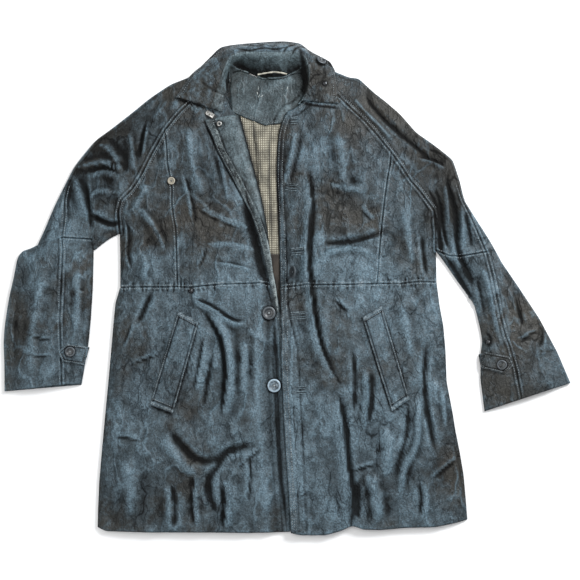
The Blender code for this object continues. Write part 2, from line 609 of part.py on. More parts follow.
def turned(name, profile, names, tilt=0.0, material_name="button"):
    """A round piece from its profile of radius and height, set on the named panels."""
    mesh = bpy.data.meshes.new(name)
    bm = bmesh.new()
    verts = [bm.verts.new((radius * MM, 0, rise * MM)) for radius, rise in profile]
    for a, b in zip(verts, verts[1:]):
        bm.edges.new((a, b))
    if profile[0][0] > 0:
        bm.edges.new((verts[-1], verts[0]))
    bm.to_mesh(mesh)
    bm.free()
    mesh.materials.append(material(material_name))
    piece = bpy.data.objects.new(name, mesh)
    coat.objects.link(piece)
    screw = piece.modifiers.new("turn", "SCREW")
    screw.steps = screw.render_steps = TURN_STEPS
    screw.use_merge_vertices = True
    screw.merge_threshold = 0.00002
    place = Vector(PLACES[name])
    lift, piece.rotation_euler = seat(place, profile, names, tilt)
    piece.location = Vector((place.x, place.y, lift + LAYER_GAP)) * MM
    return piece


def collar():
    """The stand rises from the neckline to the roll, and the fall goes from the roll over the shoulders."""
    base, roll, outer = (divide(*COLLAR[key]) for key in ("base", "roll", "outer"))
    under = ("right_front_chest", "left_front_chest", "right_sleeve_front_upper", "left_sleeve_front_upper",
             "right_sleeve_back_upper", "left_sleeve_back_upper", "back_neck_facing")
    find_faces(*under)
    count = len(roll) - 1
    rise = ROLL_BACK - ROLL_FRONT
    roll_heights = [ROLL_FRONT + rise * sin(pi * j / count) ** 0.7 for j in range(count + 1)]
    side = turning(base + outer[::-1])
    beside = [mitre(roll[max(0, j - 1)], roll[j], roll[min(count, j + 1)], side) * SEAM_GAP / 2
              for j in range(count + 1)]

    def face(edge, way, shares, reach, bend):
        """Rows from the roll down to an edge; bend shapes how the height falls on the way."""
        rows = []
        for j in range(count + 1):
            row = []
            for share in shares:
                point = (roll[j] + beside[j] * way).lerp(edge[j], share)
                found = rest_height(point, under, reach) or 0.0
                low = found + COLLAR_WALL + LAYER_GAP
                top = roll_heights[j] if share == 0 else low + max(0.0, roll_heights[j] - low) * bend(share)
                row.append(Vector((point.x, point.y, top)))
            rows.append(row)
        return rows

    stand = face(base, -1, (0.0, 0.3, 0.65, 1.0), 5.0, lambda share: 1 - sin(share * pi / 2) ** 2)
    fall = face(outer, 1, (0.0, 0.15, 0.4, 0.7, 1.0), 7.0, lambda share: 1 - share ** 1.7)
    for name, rows in (("collar_stand", stand), ("collar_fall", fall)):
        wall(name, rows, [[point - Vector((0, 0, COLLAR_WALL)) for point in row] for row in rows])


def lapel():
    """The right front's facing, turned back: it rolls over the chest's edge and lies on the chest."""
    under = ("right_front_chest", "right_front_skirt", "back_neck_facing", "back_lining", "back_lining_lower")
    find_faces(*under)
    outer, roll = (divide(*LAPEL[key]) for key in ("outer", "roll"))
    widest = max((a - b).length for a, b in zip(outer, roll))
    rows = []
    for a, b in zip(outer, roll):
        size = min(1.0, (a - b).length / widest * 1.4)
        row = []
        for share, lift in LAPEL_LIFT:
            point = a.lerp(b, share)
            low = rest_height(point, under, 4.0) + WALL + LAYER_GAP
            row.append(Vector((point.x, point.y, low + lift * size)))
        rows.append(row)
    wall("right_lapel_facing", rows, [[point - Vector((0, 0, WALL)) for point in row] for row in rows],
         "lapel leather")


def build_coat():
    closed_edges.extend(line(name) for name in CLOSED_EDGES)
    folded_edges.extend(line(name) for name in FOLDED_EDGES)
    opening_edges.extend(line(name) for name in OPENING_EDGES)
    overlap_edge.extend(line("front_left_lower"))
    for points, rise, left, right in FOLDS:
        folds.append(([Vector(point) for point in points], rise, left, right))

    raglan_right = line("raglan_right_upper", "raglan_right_lower", "web_right")
    raglan_left = line("raglan_left_upper", "raglan_left_lower", "web_left")

    # The back, flat on the surface
    neck = [Vector(point) for point in NECK_BACK]
    slab("back_bodice", raglan_right[::-1] + neck + raglan_left
         + line("side_left_upper", "-waist_left_side", "-waist_left_chest")[1:]
         + line("-waist_right_chest", "-waist_right_side", "-side_right_upper")[:-1], 0.0, BACK_TOP)
    slab("back_skirt", line("waist_right_side", "waist_right_chest")
         + line("waist_left_chest", "waist_left_side", "side_left_lower")[:-1]
         + [Vector(point) for point in HEM_BACK] + line("side_right_lower")[:0:-1], 0.0, BACK_TOP)

    # Inside the back neck
    facing = {key: divide(*FACING[key]) for key in FACING}
    panel("back_neck_facing", facing["left"], facing["right"], facing["top"], facing["bottom"],
          lambda point: BACK_TOP + LAYER_GAP + WALL)
    lining = {key: divide(*LINING[key]) for key in LINING}
    panel("back_lining", lining["left"], lining["right"], facing["bottom"], lining["bottom"],
          lambda point: BACK_TOP + LAYER_GAP + LINING_WALL, LINING_WALL, "check lining")
    lower = {key: divide(*LINING_LOWER[key]) for key in LINING_LOWER}
    panel("back_lining_lower", lower["left"], lower["right"], lining["bottom"], lower["bottom"],
          lambda point: BACK_TOP + LAYER_GAP + LINING_WALL, LINING_WALL, "brown lining")

    # The fronts
    panel("right_front_side", line("web_right", "side_right_upper"), line("panel_right"),
          line("-raglan_right_lower"), line("waist_right_side"), height)
    panel("right_front_chest", line("raglan_right_upper", "panel_right"), line("roll_right"),
          line("neck_right"), line("waist_right_chest"), height)
    panel("right_front_skirt", line("side_right_lower"), line("front_right_lower"),
          line("waist_right_side", "waist_right_chest"), line("hem_right"), height_under_overlap)
    panel("left_front_chest", line("front_left_upper"), line("raglan_left_upper", "panel_left"),
          line("neck_left"), line("waist_left_chest"), height)
    panel("left_front_side", line("panel_left"), line("web_left", "side_left_upper"),
          line("raglan_left_lower"), line("waist_left_side"), height)
    panel("left_front_skirt", line("front_left_lower"), line("side_left_lower"),
          line("waist_left_chest", "waist_left_side"), line("hem_left"), height_over_overlap)

    # The sleeves
    panel("right_sleeve_front_upper", line("overarm_right_upper"), raglan_right,
          line("shoulder_end_right"), line("elbow_right", "web_edge_right"), height)
    panel("right_sleeve_front_lower", line("overarm_right_lower"), line("inner_right"),
          line("elbow_right"), line("cuff_right"), height)
    panel("left_sleeve_front_upper", raglan_left, line("overarm_left_upper"),
          line("-shoulder_end_left"), line("-elbow_left"), height)
    panel("left_sleeve_front_lower", line("inner_left"), line("overarm_left_lower"),
          line("-elbow_left"), line("-cuff_left"), height)
    for side, under in (("right", raglan_right), ("left", raglan_left)):
        fold = line("fold_%s_upper" % side)
        start = [fold[0], under[0].lerp(fold[0], 0.5), under[0]]
        end = divide(*SLEEVE_UNDER[side])
        sleeve_back("%s_sleeve_back_upper" % side, line("overarm_%s_upper" % side), fold, under, start, end, 2)
        fold = line("fold_%s_lower" % side)
        inner = line("inner_%s" % side)
        start = divide(*SLEEVE_UNDER_LOWER[side])
        end = [fold[-1], fold[-1].lerp(inner[-1], 0.5), inner[-1]]
        sleeve_back("%s_sleeve_back_lower" % side, line("overarm_%s_lower" % side), fold, inner, start, end, 5)

    # What lies on the fronts and sleeves
    applied("right_pocket_welt", ["right_front_skirt"], POCKET_RIGHT, WALL)
    applied("left_pocket_welt", ["left_front_skirt"], POCKET_LEFT, WALL)
    applied("right_cuff_tab", ["right_sleeve_front_lower", "right_sleeve_back_lower"], TAB_RIGHT, TAB_WALL)
    applied("left_cuff_tab", ["left_sleeve_front_lower", "left_sleeve_back_lower"], TAB_LEFT, TAB_WALL)
    lapel()
    collar()

    # Buttons, snaps and metal
    find_faces("right_front_skirt", "right_front_side", "right_front_chest", "left_front_chest",
               "right_cuff_tab", "left_cuff_tab", "collar_fall", "right_lapel_facing", "left_sleeve_front_lower")
    for name in ("front_button_1", "front_button_2"):
        turned(name, COAT_BUTTON, ["right_front_skirt"])
    turned("placket_button", COAT_BUTTON, ["left_front_chest"], tilt=radians(-62))
    turned("chest_button", CHEST_BUTTON, ["right_front_chest", "right_front_side"])
    turned("collar_button", TAB_BUTTON, ["collar_fall"])
    turned("right_cuff_button", TAB_BUTTON, ["right_cuff_tab"])
    turned("left_cuff_button", TAB_BUTTON, ["left_cuff_tab"])
    turned("waist_snap", SNAP, ["right_front_skirt", "right_front_chest"], material_name="metal")
    turned("collar_snap", SNAP, ["collar_fall"], material_name="metal")
    turned("cuff_snap", SNAP, ["left_sleeve_front_lower"], material_name="metal")
    turned("lapel_ring", RING, ["right_lapel_facing"], material_name="metal")
    neck_hook()
    hanger_loop()


def neck_hook():
    """The flat metal tab at the lapel's top corner."""
    ring = [Vector(point) for point in NECK_HOOK]
    names = ("right_front_chest", "right_lapel_facing")
    low = max(z for z in (rest_height(point.lerp(sum(ring, Vector((0, 0))) / 4, share), names)
                          for point in ring for share in (0.0, 0.5)) if z is not None) + LAYER_GAP
    slab("neck_hook", ring, low, low + HOOK_WALL, "metal")


def hanger_loop():
    """A cord across the back neck, sewn down at its two ends."""
    names = ("back_neck_facing", "collar_stand")
    find_faces(*names)
    curve = bpy.data.curves.new("hanger_loop_path", "CURVE")
    curve.dimensions = "3D"
    curve.bevel_depth = LOOP_RADIUS * MM
    curve.bevel_resolution = 2
    curve.use_fill_caps = True
    route = divide(LOOP, 10)
    spline = curve.splines.new("POLY")
    spline.points.add(len(route) - 1)
    for k, point in enumerate(route):
        low = rest_height(point, names, LOOP_RADIUS) + LOOP_RADIUS + LAYER_GAP
        arch = LOOP_ARCH * sin(pi * k / (len(route) - 1))
        spline.points[k].co = (point.x * MM, point.y * MM, (low + arch) * MM, 1.0)
    guide = bpy.data.objects.new("hanger_loop_path", curve)
    coat.objects.link(guide)
    bpy.context.view_layer.update()
    mesh = bpy.data.meshes.new_from_object(guide.evaluated_get(bpy.context.evaluated_depsgraph_get()))
    bpy.data.objects.remove(guide, do_unlink=True)
    bm = bmesh.new()
    bm.from_mesh(mesh)
    bmesh.ops.remove_doubles(bm, verts=bm.verts[:], dist=0.00001)
    bmesh.ops.recalc_face_normals(bm, faces=bm.faces[:])
    bm.to_mesh(mesh)
    bm.free()
    mesh.materials.clear()
    mesh.materials.append(material("loop tape"))
    coat.objects.link(bpy.data.objects.new("hanger_loop", mesh))


build_coat()
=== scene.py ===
# %% [markdown]
# # A worn leather coat, laid flat
# The coat lies on its back on a pale surface, buttoned below the waist and open at the neck. Every piece of
# leather is cut from flat hide, so each one is made here as a sheet between its seams, raised where the coat
# is full and creased where the hide has been folded for years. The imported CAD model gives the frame.

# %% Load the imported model
import bmesh
import bpy
import json
import numpy as np
from math import cos, pi, radians, sin
from mathutils import Matrix, Vector, noise
from mathutils.bvhtree import BVHTree

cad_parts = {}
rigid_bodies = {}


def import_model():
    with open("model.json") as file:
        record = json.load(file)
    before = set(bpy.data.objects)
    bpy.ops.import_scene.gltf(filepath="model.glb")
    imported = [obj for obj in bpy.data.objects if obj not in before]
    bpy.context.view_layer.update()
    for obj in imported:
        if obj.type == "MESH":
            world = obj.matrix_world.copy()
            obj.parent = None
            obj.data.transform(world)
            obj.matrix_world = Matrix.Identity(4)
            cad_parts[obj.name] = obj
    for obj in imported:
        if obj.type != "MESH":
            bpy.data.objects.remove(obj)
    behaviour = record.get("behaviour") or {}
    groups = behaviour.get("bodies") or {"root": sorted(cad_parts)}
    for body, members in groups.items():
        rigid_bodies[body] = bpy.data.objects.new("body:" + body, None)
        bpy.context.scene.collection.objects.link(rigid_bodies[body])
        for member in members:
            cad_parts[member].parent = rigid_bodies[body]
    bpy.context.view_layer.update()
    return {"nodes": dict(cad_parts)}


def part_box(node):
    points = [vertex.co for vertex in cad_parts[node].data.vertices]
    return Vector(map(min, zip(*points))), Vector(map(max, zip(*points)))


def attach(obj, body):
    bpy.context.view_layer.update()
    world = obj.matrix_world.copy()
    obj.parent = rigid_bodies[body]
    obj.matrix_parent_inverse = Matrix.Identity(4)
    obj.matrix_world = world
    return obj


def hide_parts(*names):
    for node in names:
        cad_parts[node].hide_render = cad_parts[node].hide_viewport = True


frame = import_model()
MM = 0.001
# how finely each stretch of a seam is divided
FINE = 6

# %% [markdown]
# ## Camera, floor and light
# The photograph was taken from almost straight above the hem, about 2 m away. The camera comes first, so
# each piece can be compared with the photograph as soon as it is made. The light is a broad soft one from
# above and to the wearer's left, as in a bright room, with a pale floor that throws light back.

# %% Camera, floor and lights
TARGET = Vector((0.0067, -0.018, 0.0))
ELEVATION = radians(82)
DISTANCE = 2.0

camera_data = bpy.data.cameras.new("photo_camera")
camera_data.lens = 67.47
camera_data.sensor_width = 36.0
camera = bpy.data.objects.new("photo_camera", camera_data)
camera.location = TARGET + DISTANCE * Vector((0, -cos(ELEVATION), sin(ELEVATION)))
camera.rotation_euler = (pi / 2 - ELEVATION, 0, 0)
bpy.context.scene.collection.objects.link(camera)
bpy.context.scene.camera = camera


def soft_light(name, place, size, power, colour):
    """A square area light that looks at the coat."""
    data = bpy.data.lights.new(name, "AREA")
    data.size = size
    data.energy = power
    data.color = colour
    light = bpy.data.objects.new(name, data)
    light.location = place
    light.rotation_euler = (Vector((0, -0.05, 0)) - light.location).to_track_quat("-Z", "Y").to_euler()
    bpy.context.scene.collection.objects.link(light)


soft_light("window", Vector((1.5, 1.2, 1.5)), 0.8, 74, (0.94, 0.97, 1.0))
soft_light("ceiling", Vector((-0.4, 0.2, 2.6)), 2.0, 36, (1.0, 0.99, 0.97))
soft_light("low_fill", Vector((-1.6, -1.3, 1.2)), 1.2, 8, (0.94, 0.97, 1.0))

world = bpy.data.worlds.new("pale_room")
world.use_nodes = True
world.node_tree.nodes["Background"].inputs["Color"].default_value = (0.95, 0.97, 1.0, 1.0)
world.node_tree.nodes["Background"].inputs["Strength"].default_value = 0.38
bpy.context.scene.world = world
bpy.context.scene.view_settings.view_transform = "Standard"
print("camera at", [round(c, 3) for c in camera.location])

# %% [markdown]
# ## Finishes
# Worn leather is never one colour. Its grain catches the light, a slate highlight is painted on its
# crests and shade is painted in its creases, brown shows through where it was handled, and the edges and
# seams are rubbed pale. Each of these is a shader node group with named inputs, so the coat's leather, its
# collar and its facing share them with their own values. The sheets carry four numbers at every point, wear,
# painted shade, painted highlight and tint, that say where each effect belongs; the slate of the tint is
# partly a painted highlight too.

# %% Helpers for node groups
def add(tree, kind, inputs=None, **settings):
    """Adds a shader node, sets its properties, and links or fills its inputs."""
    node = tree.nodes.new("ShaderNode" + kind)
    for key, value in settings.items():
        setattr(node, key, value)
    for key, value in (inputs or {}).items():
        if isinstance(value, bpy.types.NodeSocket):
            tree.links.new(value, node.inputs[key])
        else:
            node.inputs[key].default_value = value
    return node


def math(tree, operation, a, b=0.0, clamp=False):
    """One Math node, and its result."""
    return add(tree, "Math", {0: a, 1: b}, operation=operation, use_clamp=clamp).outputs[0]


def plus(tree, a, b, clamp=False):
    return math(tree, "ADD", a, b, clamp)


def minus(tree, a, b, clamp=False):
    return math(tree, "SUBTRACT", a, b, clamp)


def times(tree, a, b, clamp=False):
    return math(tree, "MULTIPLY", a, b, clamp)


def between(tree, value, low, high, to_low=0.0, to_high=1.0):
    """Maps a range of a value onto another one, softly at both ends."""
    node = add(tree, "MapRange", {"Value": value, "From Min": low, "From Max": high, "To Min": to_low,
                                  "To Max": to_high}, interpolation_type="SMOOTHSTEP")
    return node.outputs["Result"]


def blend(tree, share, a, b, way="MIX"):
    """Mixes two colours."""
    node = add(tree, "Mix", data_type="RGBA", blend_type=way, clamp_factor=True)
    for socket, value in ((node.inputs[0], share), (node.inputs[6], a), (node.inputs[7], b)):
        if isinstance(value, bpy.types.NodeSocket):
            tree.links.new(value, socket)
        else:
            socket.default_value = value
    return node.outputs[2]


def darkened(tree, colour, share):
    """A colour multiplied by a value."""
    grey = add(tree, "CombineColor", {0: share, 1: share, 2: share}).outputs[0]
    return blend(tree, 1.0, colour, grey, "MULTIPLY")


def new_finish(name, colour=None):
    """An empty material, its node tree and its shader."""
    made = bpy.data.materials.new(name)
    made.use_nodes = True
    if colour:
        made.diffuse_color = (*colour, 1.0)
    return made, made.node_tree, made.node_tree.nodes["Principled BSDF"]


def new_group(name, inputs, outputs):
    """An empty node group with named sockets, and its input and output nodes."""
    tree = bpy.data.node_groups.new(name, "ShaderNodeTree")
    for label, kind, value in inputs:
        socket = tree.interface.new_socket(label, in_out="INPUT", socket_type="NodeSocket" + kind)
        socket.default_value = value
    for label, kind in outputs:
        tree.interface.new_socket(label, in_out="OUTPUT", socket_type="NodeSocket" + kind)
    return tree, tree.nodes.new("NodeGroupInput").outputs, tree.nodes.new("NodeGroupOutput").inputs


def noise_at(tree, scale, detail=3.0, roughness=0.55, distortion=0.0):
    """Noise on the object's own coordinates."""
    where = add(tree, "TexCoord").outputs["Object"]
    return add(tree, "TexNoise", {"Vector": where, "Scale": scale, "Detail": detail, "Roughness": roughness,
                                  "Distortion": distortion}).outputs["Fac"]


# %% [markdown]
# ### Leather grain and creases
# The relief of the hide comes in sizes: soft crumples two or three centimetres across and longer along the
# coat than across it, fine creases between them, and a pebbled grain about a millimetre wide. The level
# lines of a noise give creases that branch and fade as real ones do. The same lines say where a highlight
# is painted on the crests and where shade is painted in the creases, so both follow the relief.

# %% Group: hide relief
hide_relief, g_in, g_out = new_group("hide_relief", [("Grain", "Float", 0.1), ("Stretch", "Float", 0.5)],
                                     [("Height", "Float"), ("Crests", "Float"), ("Crease Lines", "Float")])
where = add(hide_relief, "TexCoord").outputs["Object"]
along = add(hide_relief, "CombineXYZ", {0: 1.0, 1: g_in["Stretch"], 2: 1.0}).outputs[0]
bend = add(hide_relief, "TexNoise", {"Vector": where, "Scale": 13.0, "Detail": 3.0})
push = add(hide_relief, "VectorMath", {0: bend.outputs["Color"], 1: (0.028, 0.028, 0.028)},
           operation="MULTIPLY")
bent = add(hide_relief, "VectorMath", {0: where, 1: push.outputs[0]}, operation="ADD").outputs[0]
bent = add(hide_relief, "VectorMath", {0: bent, 1: along}, operation="MULTIPLY").outputs[0]
shift = add(hide_relief, "VectorMath", {0: bent, 1: (3.1, 1.7, 0.4)}, operation="ADD").outputs[0]
fading = between(hide_relief, add(hide_relief, "TexNoise", {"Vector": shift, "Scale": 17.0}).outputs["Fac"],
                 0.38, 0.6)
ridged = []
for vector, scale, width in ((bent, 15.0, 0.035), (shift, 24.0, 0.03), (bent, 52.0, 0.035),
                             (shift, 60.0, 0.035)):
    level = add(hide_relief, "TexNoise", {"Vector": vector, "Scale": scale, "Detail": 3.0,
                                          "Roughness": 0.5}).outputs["Fac"]
    away = math(hide_relief, "ABSOLUTE", minus(hide_relief, level, 0.5))
    ridged.append(between(hide_relief, away, 0.0, width, 1.0, 0.0))
crests = plus(hide_relief, ridged[0], times(hide_relief, ridged[2], 0.5))
crests = times(hide_relief, crests, fading, clamp=True)
lines = plus(hide_relief, ridged[1], times(hide_relief, ridged[3], 0.6))
lines = times(hide_relief, lines, minus(hide_relief, 1.0, fading), clamp=True)
soft = add(hide_relief, "TexNoise", {"Vector": bent, "Scale": 36.0, "Detail": 3.0}).outputs["Fac"]
small = add(hide_relief, "TexNoise", {"Vector": bent, "Scale": 210.0, "Detail": 4.0,
                                      "Roughness": 0.7}).outputs["Fac"]
pebbles = add(hide_relief, "TexVoronoi", {"Vector": where, "Scale": 560.0},
              feature="SMOOTH_F1").outputs["Distance"]
folded = minus(hide_relief, times(hide_relief, crests, 0.3), times(hide_relief, lines, 0.3))
relief = plus(hide_relief, folded, times(hide_relief, soft, 1.2))
relief = plus(hide_relief, relief, times(hide_relief, small, 0.28))
grain = times(hide_relief, pebbles, g_in["Grain"])
hide_relief.links.new(plus(hide_relief, relief, grain), g_out["Height"])
hide_relief.links.new(crests, g_out["Crests"])
hide_relief.links.new(lines, g_out["Crease Lines"])
print("hide relief has", len(hide_relief.nodes), "nodes")

# %% [markdown]
# ### Dye, wear and painted light
# The colour is mixed from four: the dark dye, the slate of the crests, the brown under the dye, and the
# pale scuff of edges. The slate is partly random tone and partly a highlight painted on the crests and on
# the slate areas, and the hollows are darkened with painted shade. The shade and the highlight come from
# the sheet and from its relief together, the wear and the tint from the sheet alone. Fine noise breaks
# every border up, as wear is never even.

# %% Group: dye, wear and painted light
dye_wear_and_painted_light, g_in, g_out = new_group(
    "dye_wear_and_painted_light",
    [("Dark", "Color", (0.02, 0.02, 0.02, 1)), ("Slate", "Color", (0.1, 0.1, 0.1, 1)),
     ("Brown", "Color", (0.05, 0.03, 0.02, 1)), ("Pale", "Color", (0.3, 0.3, 0.3, 1)),
     ("Brown Share", "Float", 0.5), ("Wear", "Float", 0.0), ("Painted_Shade", "Float", 0.0), ("Painted_Highlight", "Float", 0.0),
     ("Tint", "Float", 0.0)],
    [("Color", "Color"), ("Roughness", "Float")])
broad = noise_at(dye_wear_and_painted_light, 7.0, 3.0, 0.55)
middle = noise_at(dye_wear_and_painted_light, 60.0, 5.0, 0.7)
fine = noise_at(dye_wear_and_painted_light, 330.0, 3.0, 0.7)
browned = times(dye_wear_and_painted_light, between(dye_wear_and_painted_light, broad, 0.45, 0.65), g_in["Brown Share"])
browned = minus(dye_wear_and_painted_light, browned, times(dye_wear_and_painted_light, g_in["Tint"], 0.8), clamp=True)
colour = blend(dye_wear_and_painted_light, browned, g_in["Dark"], g_in["Brown"])
# slate share: random tone, and a painted highlight on the crests and slate areas
tone_and_highlight = plus(dye_wear_and_painted_light, times(dye_wear_and_painted_light, g_in["Painted_Highlight"], 0.75), times(dye_wear_and_painted_light, g_in["Tint"], 0.45))
tone_and_highlight = plus(dye_wear_and_painted_light, tone_and_highlight, between(dye_wear_and_painted_light, broad, 0.35, 0.6, 0.32, 0.0))
tone_and_highlight = plus(dye_wear_and_painted_light, tone_and_highlight, between(dye_wear_and_painted_light, middle, 0.35, 0.7, -0.12, 0.24), clamp=True)
colour = blend(dye_wear_and_painted_light, tone_and_highlight, colour, g_in["Slate"])
speckle = between(dye_wear_and_painted_light, fine, 0.34, 0.66, 0.6, 1.45)
colour = darkened(dye_wear_and_painted_light, colour, speckle)
uneven = plus(dye_wear_and_painted_light, times(dye_wear_and_painted_light, fine, 1.3), times(dye_wear_and_painted_light, middle, 0.9))
broken = plus(dye_wear_and_painted_light, g_in["Wear"], minus(dye_wear_and_painted_light, uneven, 1.1))
scuffed = between(dye_wear_and_painted_light, broken, 0.42, 0.9)
colour = blend(dye_wear_and_painted_light, times(dye_wear_and_painted_light, scuffed, 0.75), colour, g_in["Pale"])
# painted shade: the colour is darkened in the hollows
depth = minus(dye_wear_and_painted_light, 1.0, times(dye_wear_and_painted_light, g_in["Painted_Shade"], 0.94), clamp=True)
dye_wear_and_painted_light.links.new(darkened(dye_wear_and_painted_light, colour, depth), g_out["Color"])
gloss = between(dye_wear_and_painted_light, middle, 0.3, 0.7, 0.56, 0.38)
dye_wear_and_painted_light.links.new(plus(dye_wear_and_painted_light, gloss, times(dye_wear_and_painted_light, g_in["Painted_Shade"], 0.55), clamp=True),
                   g_out["Roughness"])
print("worn dye has", len(dye_wear_and_painted_light.nodes), "nodes")


# %% Leather materials
def leather(name, dark, slate, brown, pale, brown_share, relief_mm):
    """A leather finish from the two groups, with its own dyes."""
    made, tree, shader = new_finish(name, dark)
    relief = add(tree, "Group", node_tree=hide_relief)
    inputs = {"Dark": dark, "Slate": slate, "Brown": brown, "Pale": pale, "Brown Share": brown_share}
    for label in ("Wear", "Painted_Shade", "Painted_Highlight", "Tint"):
        inputs[label] = add(tree, "Attribute", attribute_name=label.lower()).outputs["Fac"]
    # painted shade in the relief's crease lines and a painted highlight on its crests
    lines = times(tree, relief.outputs["Crease Lines"], 0.45)
    inputs["Painted_Shade"] = plus(tree, inputs["Painted_Shade"], lines, clamp=True)
    crests = times(tree, relief.outputs["Crests"], 0.7)
    inputs["Painted_Highlight"] = plus(tree, inputs["Painted_Highlight"], crests, clamp=True)
    dye = add(tree, "Group", node_tree=dye_wear_and_painted_light)
    for label, value in inputs.items():
        if isinstance(value, bpy.types.NodeSocket):
            tree.links.new(value, dye.inputs[label])
        else:
            dye.inputs[label].default_value = value if isinstance(value, float) else (*value, 1.0)
    bump = add(tree, "Bump", {"Strength": 1.0, "Distance": relief_mm * MM,
                              "Height": relief.outputs["Height"]})
    tree.links.new(dye.outputs["Color"], shader.inputs["Base Color"])
    tree.links.new(dye.outputs["Roughness"], shader.inputs["Roughness"])
    tree.links.new(bump.outputs["Normal"], shader.inputs["Normal"])
    shader.inputs["Specular IOR Level"].default_value = 0.3
    return made


coat_leather = leather("coat_leather", dark=(0.011, 0.0165, 0.019), slate=(0.087, 0.132, 0.162),
                       brown=(0.027, 0.026, 0.022), pale=(0.24, 0.28, 0.30), brown_share=0.8, relief_mm=5.0)
facing_leather = leather("facing_leather", dark=(0.016, 0.025, 0.028), slate=(0.094, 0.130, 0.145),
                         brown=(0.036, 0.037, 0.032), pale=(0.27, 0.31, 0.31), brown_share=0.4, relief_mm=3.0)
print("leather finishes:", coat_leather.name, facing_leather.name)

# %% [markdown]
# ## The pattern
# A maker cuts a coat from a paper pattern, and the same seam belongs to the two pieces that it joins. So
# every seam and edge is one named line here, in millimetres on the table, with the number of stretches that
# it is divided into. Opposite sides of a piece have the same number, which lets a grid run between them.

